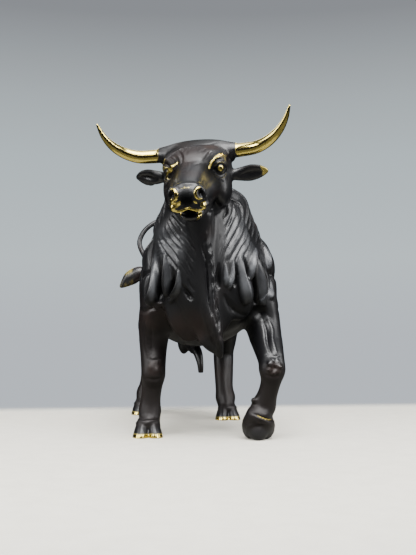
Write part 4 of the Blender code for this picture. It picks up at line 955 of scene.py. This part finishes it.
for s in (-1, 1):
    view = eye_side(s)
    skin.dab((0.04, 0.02), view, (0.36, 0.36), 0.26, 0.6)
    skin.draw(((UPPER_LID, 0.13, 0.17), (LOWER_LID, 0.12, 0.14)), view, RIDGE)
    skin.draw((
        (((-0.75, 0.3), (-0.3, 0.6), (0.12, 0.72), (0.72, 0.56)), 0.13, 0.16),
        (((-0.5, -0.3), (-0.1, -0.58), (0.35, -0.55), (0.7, -0.4)), 0.12, 0.1),
        (((-0.9, -0.25), (-0.6, -0.75), (0, -1.15)), 0.18, 0.1),
    ), view, GROOVE)
    # The hollow beside the nose.
    skin.stroke(((s * 1.6, -4.7), (s * 1.5, -5.6), (s * 1.35, -6.8)), FACE, 0.42, 0.08, GROOVE)
    # Nostril: a pit under a rolled rim, which curls round its inner side.
    pit = ((s * 1.12, -1.42), (s * 1.16, -1.7), (s * 1.22, -2.0))
    skin.stroke(pit, NOSE, 0.27, 0.42, PIT, 0.5)
    skin.stroke([(s * u, w) for u, w in NOSTRIL], NOSE, 0.17, 0.17, RIDGE)
    skin.dab((s * 1.18, -2.35), NOSE, (0.26, 0.2), 0.14)
    skin.stroke(((s * 0.5, -2.2), (s * 0.78, -2.5)), NOSE, 0.14, 0.1, RIDGE)
    # Corner of the mouth and the side of the chin.
    skin.dab((s * 1.15, -2.8), NOSE, (0.36, 0.34), 0.14)
    skin.stroke(((s * 0.2, -3.75), (s * 0.5, -3.8), (s * 0.85, -3.7)), NOSE, 0.18, 0.1, RIDGE)
    # The ear's hollow.
    root = HEAD @ Vector((s * 2.75, -1.9, -2.42 - s * 0.1))
    cup = head_side((s * 0.95, 0.3, -0.04), (0, 0.2, 1), (0, -1, 0), root)
    skin.stroke(((0.6, -0.05), (1.3, -0.05), (2.0, 0.0), (2.7, 0.03)), cup, 0.55, 0.26, GROOVE)
# The lips: a gold-edged upper one that rises in the middle, and the dark line under it.
skin.stroke(LIP, NOSE, 0.16, 0.16, RIDGE, 0.3)
skin.stroke([(x, z - 0.22) for x, z in LIP], NOSE, 0.17, 0.26, GROOVE, 0.4)
skin.draw(FOREHEAD, FACE, GROOVE)
skin.stroke(((-0.9, -1.22), (-0.3, -1.1), (0.3, -1.1), (0.8, -1.2)), NOSE, 0.2, 0.12, RIDGE)
skin.stroke(((0, -1.9), (0, -2.3), (0, -2.7)), NOSE, 0.14, 0.1, GROOVE)
skin.finish()
print("second pass lifts the skin by up to", skin.most(), "mm")

# %% [markdown]
# ## Third pass: the chasing tool
# After casting, a founder's chaser sharpens the lines with a fine punch. These strokes are too
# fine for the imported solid: hair lines between the folds of the neck, the roughness of the keel,
# wrinkles round the eyes, and the knuckles of the bent knee.

# %% Third pass
EYEBALL = 0.31  # radius of the line round the eye
skin = Skin(skin_mesh)
hairs = (
    # how many, side, half width, depth, first marks, last marks
    (11, THROAT, 0.1, 0.075,
     ((-3.55, 18.9), (-2.95, 18), (-2.3, 17.4)), ((-4.7, 16.4), (-3.9, 14.9), (-3.1, 13.8))),
    (9, THROAT, 0.09, 0.06,
     ((-2.4, 17.6), (-2, 16.9), (-1.6, 16.4)), ((-3, 14.9), (-2.4, 13.9), (-1.9, 13.1))),
    (12, FRONT, 0.1, 0.075,
     ((0.9, 19.9), (0.8, 19.1), (0.4, 18.3)), ((3.6, 17.2), (3.1, 16), (2.5, 15))),
    (6, FRONT, 0.09, 0.06,
     ((0.2, 17.6), (0.2, 16.6), (0, 15.6)), ((1.2, 16.2), (0.9, 15.2), (0.6, 14.4))),
    (4, FRONT, 0.1, 0.05,
     ((-5.1, 15.4), (-5.2, 14.4), (-5.3, 13.2)), ((-4.3, 16.8), (-4.5, 15.6), (-4.6, 14.2))),
    (4, FRONT, 0.1, 0.05,
     ((3.9, 16.6), (4.2, 15.6), (4.4, 14.6)), ((5.1, 15.6), (5.3, 14.8), (5.4, 14))),
)
for count, view, wide, deep, first, last in hairs:
    skin.comb(first, last, count, view, wide, deep, GROOVE, sway=0.03)
# The roughness of the keel.
ROUGH_SPOTS = 26
for i in range(ROUGH_SPOTS):
    t = i / ROUGH_SPOTS
    place = (-1.0 + 1.0 * t + 0.32 * math.sin(2.7 * i), 17.0 - 8.4 * t)
    skin.dab(place, FRONT, (0.15 + 0.05 * math.sin(1.7 * i), 0.28), 0.06 * math.cos(1.3 * i))
for s in (-1, 1):
    view = eye_side(s)
    turns = np.linspace(0, 2 * math.pi, 9)
    ring = [(0.04 + EYEBALL * math.cos(a), 0.02 + EYEBALL * math.sin(a)) for a in turns]
    skin.stroke(ring, view, 0.1, 0.1, GROOVE, 1.0)
    for k in (1.0, 1.35, 1.7):
        bag = [(u * k + 0.05, v * k - 0.05) for u, v in LOWER_LID[:4]]
        skin.stroke(bag, view, 0.1, 0.06, GROOVE)
    skin.comb(((-0.9, 0.9), (-0.3, 1.35), (0.4, 1.5)), ((-1.3, 1.5), (-0.5, 2.1), (0.3, 2.3)), 3,
              view, 0.12, 0.06, GROOVE)
skin.comb(((-1.9, -1.9), (-1.7, -2.4), (-1.6, -2.9)), ((1.9, -1.6), (1.7, -2.2), (1.6, -2.6)), 9,
          FACE, 0.12, 0.035, GROOVE, sway=0.05)
# The knuckles of the bent knee, and the dent between them.
for i in range(7):
    angle = 0.9 * i
    skin.dab((4.9 + 0.5 * math.cos(angle), 6.4 + 0.55 * math.sin(angle)), FRONT, (0.22, 0.24), 0.12)
skin.dab((4.95, 6.3), FRONT, (0.25, 0.3), -0.14)
skin.finish()
soften(skin_mesh, np.full(len(skin_mesh.vertices), 0.7 * SOFT_FINE), GRAIN)
print("third pass lifts the skin by up to", skin.most(), "mm")

# %% [markdown]
# ## From skin to casting
# Decimate thins the flat stretches and keeps the folds. The soles are then cut flat on the
# ground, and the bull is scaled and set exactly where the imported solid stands.

# %% Casting


def rest_on_ground(mesh):
    """Cut the soles flat on the ground and close them."""
    work = bmesh.new()
    work.from_mesh(mesh)
    every = work.verts[:] + work.edges[:] + work.faces[:]
    ground = {"plane_co": (0, 0, GROUND), "plane_no": (0, 0, 1)}
    bmesh.ops.bisect_plane(work, geom=every, clear_inner=True, **ground)
    bmesh.ops.holes_fill(work, edges=[edge for edge in work.edges if edge.is_boundary])
    bmesh.ops.triangulate(work, faces=work.faces)
    work.to_mesh(mesh)
    work.free()


# The skin's cells have four sides, so each of them counts as two triangles.
cast = modified(skin_mesh, "DECIMATE", ratio=TRIANGLES / (2 * len(skin_mesh.polygons)))
rest_on_ground(cast)
corners = points_of(cast)
middle = (corners.min(0) + corners.max(0)) / 2
home = Vector(((solid_low.x + solid_high.x) / 2, (solid_low.y + solid_high.y) / 2, 0)) / U
set_down = Matrix.Translation((home.x - middle[0], home.y - middle[1], -corners[:, 2].min()))
print("cast:", len(cast.polygons), "triangles")
print("set down by", [round(x, 3) for x in set_down.translation], "units")

# %% [markdown]
# ## Where the metal shows, and the painted shade and highlight
# Bright metal shows where it was polished on purpose, on the horns, and where it is rubbed: the
# brows, the rims of the nostrils, the lips, the tip of an ear, the edges of the hooves and the
# brush of the tail. The strokes that shaped the skin now paint on it with a flat section. The
# paint is kept as attributes: where the metal is bare, where painted shade darkens the patina,
# where a painted highlight makes it paler, and where it is brown. Two more say how far each point
# stands proud, over a short and over a long reach.

# %% Paint
FLAT = ((-1, -0.7, 0.7, 1), (0, 1, 1, 0))
# Where the bare metal of each part begins and where it is complete, in units.
HORNS_FROM, EARS_FROM, HOOVES_FROM, BRUSH_FROM = (3.05, 3.35), (4.7, 5.3), (-1.2, -0.35), (4.6, 5.6)
SHORT_REACH, LONG_REACH = 0.1, 0.45


def proud(mesh, reach, grain):
    """How far each point stands above the skin around it, in units."""
    around = mesh.copy()
    soften(around, np.full(len(around.vertices), reach), grain)
    gap = ((points_of(mesh) - points_of(around)) * normals_of(mesh)).sum(1)
    bpy.data.meshes.remove(around)
    return gap


def ramp(values, start, end):
    """0 before start, 1 after end, smooth in between."""
    t = np.clip((values - start) / (end - start), 0, 1)
    return t * t * (3 - 2 * t)


cast_grain = GRAIN * math.sqrt(2 * len(skin_mesh.polygons) / len(cast.polygons))
relief = proud(cast, SHORT_REACH, cast_grain)
broad_relief = proud(cast, LONG_REACH, cast_grain)
spots = points_of(cast)
x, y, z = spots.T
u, v, w = in_frame(spots, HEAD).T

brush = Skin(cast)


def paint(marks, view, wide, share=1.0, blunt=0.4):
    brush.stroke(marks, view, wide, share, FLAT, blunt)


view = eye_side(1)
brush.dab((0.04, 0.02), view, (0.29, 0.29), 1.0, 0.7)
paint(BROW, view, 0.13, 1.0, 0.8)
view = eye_side(-1)
for k in (0.0, 0.35, 0.7):
    paint(((-1.0 + k, 1.1 - k), (-0.5 + k, 0.55 - k), (0.0 + k, 0.3 - k)), view, 0.09, 1.0)
for s in (-1, 1):
    view = eye_side(s)
    paint(UPPER_LID, view, 0.09, 0.5)
    paint(LOWER_LID, view, 0.09, 0.45)
    paint([(s * u, w) for u, w in NOSTRIL], NOSE, 0.19 if s < 0 else 0.15, 1.0 if s < 0 else 0.8)
    paint(((s * 0.5, -2.2), (s * 0.78, -2.5)), NOSE, 0.12, 0.7)
# The sides of the muzzle, the chin and the bridge of the nose.
for marks, wide, share in (
    (((-1.15, -2.2), (-1.25, -2.6), (-1.3, -3)), 0.34, 1),
    (((-1.3, -2.75), (-0.95, -2.6), (-0.5, -2.3)), 0.22, 1),
    (((1.12, -2.45), (1.25, -2.8)), 0.3, 0.9),
    (((-1.25, -3.15), (-1, -3.5), (-0.8, -3.9)), 0.22, 0.8),
    (((0.75, -3.5), (0.6, -3.95), (0.36, -4.2)), 0.2, 0.7),
    (((-0.6, -1.32), (-0.2, -1.26), (0.2, -1.26), (0.6, -1.3)), 0.1, 0.5),
):
    paint(marks, NOSE, wide, share)
paint(LIP, NOSE, 0.17, 1.0, 0.9)
paint(CORONET, FRONT, 0.09, 0.6)
rubbed = np.clip(brush.lift, 0, 1)
horns_bare = ramp(np.abs(u) + 0.5 * np.minimum(w + 0.8, 0), *HORNS_FROM) * (z > 21) * (w > -1.5)
ear_tips = ramp(u, *EARS_FROM) * (w < -1.7) * (w > -3.4) * (v > -3)
lifted = (x > 2.5) & (y < 0)
hoof_edges = np.where(lifted, 0, ramp(-z, *HOOVES_FROM))
tail_brush = (y > 21.5) * ramp(-x, *BRUSH_FROM) * (z < 17.4) * (z > 13)
bare = np.maximum.reduce([rubbed, horns_bare, 0.55 * ear_tips, 0.68 * hoof_edges, 0.45 * tail_brush])

# Painted shade, dark and matt: the pockets of the breast, the roll of the poll, the nose and the
# mouth.
brush.lift[:] = 0
for marks, wide, deep in pockets:
    brush.stroke(marks, FRONT, 1.1 * wide, 0.7, RIDGE, lean=HANG)
# Painted shade over the roll of the poll.
top = ((-3.0, -2.0), (-2.0, -1.75), (-1.1, -1.0), (0.1, -0.75), (1.1, -0.65), (1.9, -0.5))
paint(top, FACE, 0.55, 0.8)
# Painted shade on the middle of the nose, under the upper lip and under the chin.
paint(((0, -1.5), (0, -2.0), (0, -2.6)), NOSE, 0.6, 1.0)
paint([(x, z - 0.3) for x, z in LIP[1:-1]], NOSE, 0.22, 1.0)
paint(((-0.6, -3.5), (0.0, -3.5), (0.6, -3.5)), NOSE, 0.42, 1.0)
# Painted shade in the nostrils, and the same dark, matt paint on each horn near its root.
for s in (-1, 1):
    paint(((s * 1.14, -1.5), (s * 1.2, -1.95)), NOSE, 0.2, 1.0)
    paint(((s * 3.5, -1.9), (s * 4.6, -1.6)), FACE, 0.5, 0.8)
# Undersides and shanks are darker too, because little light gets there.
below = ramp(-normals_of(cast)[:, 2], -0.05, 0.5) * ramp(-z, -15, -12) * ramp(z, 1.2, 2.0)
# Painted shade in the hollow beside the nose, to dim the faint sheen that shows there.
for s in (-1, 1):
    brush.dab((s * 1.5, -4.7), FACE, (0.9, 1.3), 1.0, 0.5)
standing = (x < -2.5) & (y < 4)
shanks = np.where(standing, ramp(-z, -11.5, -9.5), ramp(-z, -7.0, -5.5)) * ramp(z, 0.9, 1.6)
# All the painted shade in one mask; undersides and shanks count for less.
painted_shade = np.maximum.reduce([np.clip(brush.lift, 0, 1), 0.6 * below, 0.45 * shanks])

# Painted highlight: a paler grey on the lobes of the breast and the folds above, where the light
# catches them.
brush.lift[:] = 0
for marks, wide, _ in lobes:
    brush.stroke(marks, FRONT, 0.9 * wide, 0.9, LOBE, lean=HANG)
folds = (((-3.5, 16.4), 1.3, 0.4), ((2.1, 16.8), 1.7, 0.35), ((-4.6, 16.6), 1.0, 0.3))
for place, wide, share in folds:
    brush.dab(place, FRONT, (wide, 1.6 * wide), share, power=1.0)
painted_highlight = np.clip(brush.lift, 0, 1)

# Where the patina has worn to brown.
brush.lift[:] = 0
brush.dab((1.4, -1.9), FACE, (0.8, 0.8), 1.0, 1.0)
for place, size in (((-4.4, 10.6), 1.3), ((-2.2, 9.6), 1.8), ((-4.6, 6.2), 0.7), ((4.9, 6.2), 0.8)):
    brush.dab(place, FRONT, (size, size), 1.0, power=1.0)
brown = np.clip(brush.lift + 0.5 * shanks, 0, 1)
masks = {"painted_shade": painted_shade, "painted_highlight": painted_highlight, "brown": brown, "bare": bare}
masks |= {"relief": relief, "broad_relief": broad_relief}
for name, values in masks.items():
    layer = cast.attributes.new(name, "FLOAT", "POINT")
    layer.data.foreach_set("value", np.asarray(values, np.float32))
print("bare metal on", round(100 * float((bare > 0.5).mean()), 1), "% of the points")

# %% [markdown]
# ## Set down
# The casting is scaled from units to metres and moved in its mesh, so that its object stays at
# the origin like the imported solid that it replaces.

# %% Set down
cast.transform(Matrix.Scale(U, 4) @ set_down)
cast.shade_smooth()
bull = in_scene("bull_bronze", cast)
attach(bull, "root")
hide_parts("bull")
print("set down:", [round(1000 * side, 1) for side in bull.dimensions], "mm")

# %% [markdown]
# ## Writing a finish
# A finish is a tree of nodes, and maths on nodes reads badly as a list of links. One small class
# wraps a socket, so that sums can be written as sums, and one method adds any other node.

# %% Finish tools


class Wire:
    """A value in a node tree. Sums written on it add Math nodes."""

    def __init__(self, nodes, socket):
        self.nodes, self.socket = nodes, socket

    def sum(self, operation, first, second):
        return self.nodes.node("Math", {"operation": operation}, {0: first, 1: second})

    def __add__(self, other):
        return self.sum("ADD", self, other)

    def __sub__(self, other):
        return self.sum("SUBTRACT", self, other)

    def __rsub__(self, other):
        return self.sum("SUBTRACT", other, self)

    def __mul__(self, other):
        return self.sum("MULTIPLY", self, other)

    __radd__, __rmul__ = __add__, __mul__


class Nodes:
    """A node tree, written one node at a time."""

    def __init__(self, tree):
        self.tree = tree

    def node(self, kind, settings, sockets, out=0):
        """Adds a node, sets it up, fills its sockets with values or wires, and returns one output."""
        made = self.tree.nodes.new("ShaderNode" + kind)
        for name, value in settings.items():
            setattr(made, name, value)
        self.fill(made, sockets)
        return Wire(self, made.outputs[out])

    def fill(self, made, sockets):
        for name, value in sockets.items():
            if isinstance(value, Wire):
                self.tree.links.new(value.socket, made.inputs[name])
            else:
                made.inputs[name].default_value = value

    def read(self, name):
        return self.node("Attribute", {"attribute_name": name}, {}, "Fac")

    def noise(self, scale, detail=3.0, roughness=0.55):
        place = self.node("TexCoord", {}, {}, "Object")
        sockets = {"Vector": place, "Scale": scale, "Detail": detail, "Roughness": roughness}
        return self.node("TexNoise", {}, sockets)

    def between(self, value, start, end, low=0.0, high=1.0):
        """The value read on a smooth ramp."""
        sockets = {0: value, 1: start, 2: end, 3: low, 4: high}
        return self.node("MapRange", {"interpolation_type": "SMOOTHSTEP"}, sockets)

    def mix(self, share, first, second):
        """One colour turning into another."""
        return self.node("Mix", {"data_type": "RGBA"}, {0: share, 6: first, 7: second}, 2)


class Finish(Nodes):
    """A material, and the nodes that feed its shader."""

    def __init__(self, name):
        self.material = bpy.data.materials.new(name)
        self.material.use_nodes = True
        super().__init__(self.material.node_tree)

    def feed(self, **sockets):
        named = {name.replace("_", " "): value for name, value in sockets.items()}
        self.fill(self.tree.nodes["Principled BSDF"], named)


print("finish tools ready")

# %% [markdown]
# ## Bronze
# The patina is a thin, near-black skin over the metal, waxed to a soft shine. It goes brown
# where it has worn thin. Shade is painted into it as near-black and matt in the hollows, under
# the body and on the shanks, and a highlight is painted as a paler grey on the lobes and folds of
# the breast. Where it is rubbed through, the metal under it is a bright greenish gold. One mask,
# broken up by noise and pulled towards the ridges, decides between the two everywhere.

# %% Bronze
NEARLY_BLACK = (0.0045, 0.0045, 0.0055, 1)
GREY_BLACK = (0.028, 0.028, 0.031, 1)
# The paler grey of the painted highlight.
HIGHLIGHT_GREY = (0.125, 0.13, 0.14, 1)
BROWN = (0.04, 0.016, 0.008, 1)
GOLD = (0.93, 0.75, 0.18, 1)
OLD_GOLD = (0.6, 0.43, 0.09, 1)
# The black of the painted shade.
SHADE_BLACK = (0.002, 0.002, 0.002, 1)
WAXED, POLISHED = 0.38, 0.12  # roughness of the patina and of the bare metal
COAT, COAT_ROUGHNESS = 0.25, 0.3
GRAIN_SCALE, GRAIN_SHOWS, GRAIN_DEPTH = 900.0, 0.12, 0.0002


def bronze():
    finish = Finish("bronze")
    relief, broad, bare = finish.read("relief"), finish.read("broad_relief"), finish.read("bare")
    painted_shade, brown, painted_highlight = finish.read("painted_shade"), finish.read("brown"), finish.read("painted_highlight")
    fine, blotch = finish.noise(GRAIN_SCALE), finish.noise(55.0, 4.0)
    cloud = finish.noise(18.0, 2.0)
    edge = bare + 2.0 * relief + 0.8 * (1.05 - bare) * (blotch - 0.5) + 0.12 * (fine - 0.5)
    gold = finish.between(edge * finish.between(bare, 0.05, 0.4), 0.4, 0.62)
    worn = finish.between(relief * 10.0 + broad * 0.6 + (blotch - 0.5) * 1.2, 0.25, 1.1)
    warm = finish.between(cloud + 0.3 * (blotch - 0.5), 0.52, 0.72)
    patina = finish.mix(worn, NEARLY_BLACK, GREY_BLACK)
    # Painted highlight: paler grey on the lobes and folds of the breast.
    patina = finish.mix(painted_highlight * (0.55 + 0.5 * blotch), patina, HIGHLIGHT_GREY)
    patina = finish.mix(warm * 0.22 + brown * 0.35, patina, BROWN)
    # Painted shade: near-black in the hollows, under the body and on the shanks.
    patina = finish.mix(painted_shade * 0.8, patina, SHADE_BLACK)
    metal = finish.mix(finish.between(relief * 8.0 + (fine - 0.5), -0.5, 0.3), OLD_GOLD, GOLD)
    rough = finish.between(gold, 0.0, 1.0, WAXED, POLISHED) + 0.1 * (fine - 0.5)
    bump = {"Strength": GRAIN_SHOWS, "Distance": GRAIN_DEPTH, "Height": fine}
    finish.feed(
        Base_Color=finish.mix(gold, patina, metal),
        Metallic=finish.between(gold, 0.0, 1.0, 0.15, 1.0) + 0.75 * painted_shade,
        Roughness=rough - 0.05 * worn + 0.35 * painted_shade,
        Normal=finish.node("Bump", {}, bump),
        Coat_Weight=COAT - COAT * painted_shade,
        Coat_Roughness=COAT_ROUGHNESS,
    )
    return finish.material


cast.materials.clear()
cast.materials.append(bronze())
print("bronze:", len(cast.materials[0].node_tree.nodes), "nodes")

# %% [markdown]
# ## Floor and light
# A pale floor fades out before it reaches a horizon, and the grey backdrop is a little lighter
# low down. A dark, shiny figure is drawn by what it reflects. So the lamps are large and run
# along its front and its sides, and the floor and the room are dimmer in its reflections than
# they are to the camera.

# %% Floor
FLOOR_SPAN = 4.0
# The floor fades out all round, and sooner behind the bull. Distances are from its middle.
FADE, FADE_BEHIND, DIMMING = (0.32, 0.85), (0.17, 0.25), (0.18, 0.26)
PALE, PALER = (0.7, 0.67, 0.58, 1), (0.86, 0.83, 0.73, 1)
NEAR_REFLECTED, FAR_REFLECTED = (0.22, 0.21, 0.18, 1), (0.03, 0.03, 0.03, 1)
floor_work = bmesh.new()
bmesh.ops.create_grid(floor_work, x_segments=1, y_segments=1, size=FLOOR_SPAN / 2)
floor_mesh = bpy.data.meshes.new("floor")
floor_work.to_mesh(floor_mesh)
floor_work.free()
in_scene("floor", floor_mesh)


def pale_floor():
    finish = Finish("pale_floor")
    place = finish.node("TexCoord", {}, {}, "Object")
    far = finish.node("VectorMath", {"operation": "LENGTH"}, {0: place}, "Value")
    back = finish.node("SeparateXYZ", {}, {0: place}, "Y")
    grain = finish.noise(60.0, 6.0)
    seen = finish.node("LightPath", {}, {}, "Is Camera Ray")
    reflected = finish.mix(finish.between(far, *DIMMING), NEAR_REFLECTED, FAR_REFLECTED)
    finish.feed(
        Base_Color=finish.mix(seen, reflected, finish.mix(grain, PALE, PALER)),
        Roughness=0.85,
        Alpha=finish.between(far, *FADE, 1.0, 0.0) * finish.between(back, *FADE_BEHIND, 1.0, 0.0),
    )
    return finish.material


floor_mesh.materials.append(pale_floor())
print("floor ready")

# %% Backdrop and lamps
world = bpy.data.worlds.new("studio")
bpy.context.scene.world = world
world.use_nodes = True
sky = Nodes(world.node_tree)
rise = sky.node("SeparateXYZ", {}, {0: sky.node("TexCoord", {}, {}, "Generated")}, "Z")
BACKDROP = (
    # height of the line of sight, colour
    (0, (0.62, 0.67, 0.73, 1)),
    (0.094, (0.66, 0.74, 0.78, 1)),
    (0.216, (0.56, 0.65, 0.69, 1)),
    (0.286, (0.465, 0.52, 0.55, 1)),
    (0.38, (0.27, 0.285, 0.31, 1)),
)
# What the bull reflects: a dark room, lighter overhead.
ROOM = ((0.0, (0.012, 0.012, 0.013, 1)), (0.35, (0.03, 0.03, 0.032, 1)), (0.8, (0.22, 0.23, 0.24, 1)))


def sky_colours(stops):
    """Colours that follow the height of the line of sight."""
    colours = sky.node("ValToRGB", {}, {0: rise})
    strip = colours.socket.node.color_ramp
    first, last = strip.elements
    (first.position, first.color), (last.position, last.color) = stops[0], stops[-1]
    for position, colour in stops[1:-1]:
        strip.elements.new(position).color = colour
    return colours


seen = sky.node("LightPath", {}, {}, "Is Camera Ray")
glow = sky.mix(seen, sky_colours(ROOM), sky_colours(BACKDROP))
sky.fill(sky.tree.nodes["Background"], {"Color": glow})


def lamp(name, place, size, power, aim=(0, 0, 0.13)):
    """A soft square lamp that faces its aim."""
    light = bpy.data.lights.new(name, "AREA")
    light.shape = "RECTANGLE"
    light.size, light.size_y = size
    light.energy = power
    holder = in_scene(name, light)
    holder.location = place
    holder.rotation_euler = (Vector(aim) - Vector(place)).to_track_quat("-Z", "Y").to_euler()


lamp("overhead", (0.0, -0.1, 1.3), (0.9, 0.6), 6)
lamp("front_top", (0.0, -0.8, 1.3), (1.1, 0.8), 46)
lamp("window", (0.0, -1.5, 1.05), (1.4, 0.5), 14)
lamp("front_left", (1.0, -1.0, 0.75), (0.45, 0.6), 12)
lamp("front_right", (-1.05, -0.9, 0.75), (0.45, 0.6), 12)
lamp("left_side", (1.3, -0.2, 0.6), (0.5, 0.9), 7)
lamp("right_side", (-1.3, -0.1, 0.6), (0.5, 0.9), 8)
lamp("behind", (0.0, 1.3, 0.9), (1.0, 0.6), 6)
print("lamps ready")

# %% [markdown]
# ## Camera
# The photograph was taken from the front, a little to the bull's right and low down. The
# horizon lies on row 335 of 555, and the long side of the picture takes in 38 degrees.

# %% Camera
EYE = Vector((-0.0768, -0.7557, 0.087))
LOOK_SIDE, LOOK_UP = 7.8, 4.11
camera_data = bpy.data.cameras.new("camera")
camera_data.lens, camera_data.sensor_width = 51.9, 36.0
camera_data.sensor_fit = "AUTO"
camera = in_scene("camera", camera_data)
camera.location = EYE
camera.rotation_euler = (math.radians(90 + LOOK_UP), 0, math.radians(-LOOK_SIDE))
bpy.context.scene.camera = camera
print("camera", [round(x, 3) for x in camera.location])
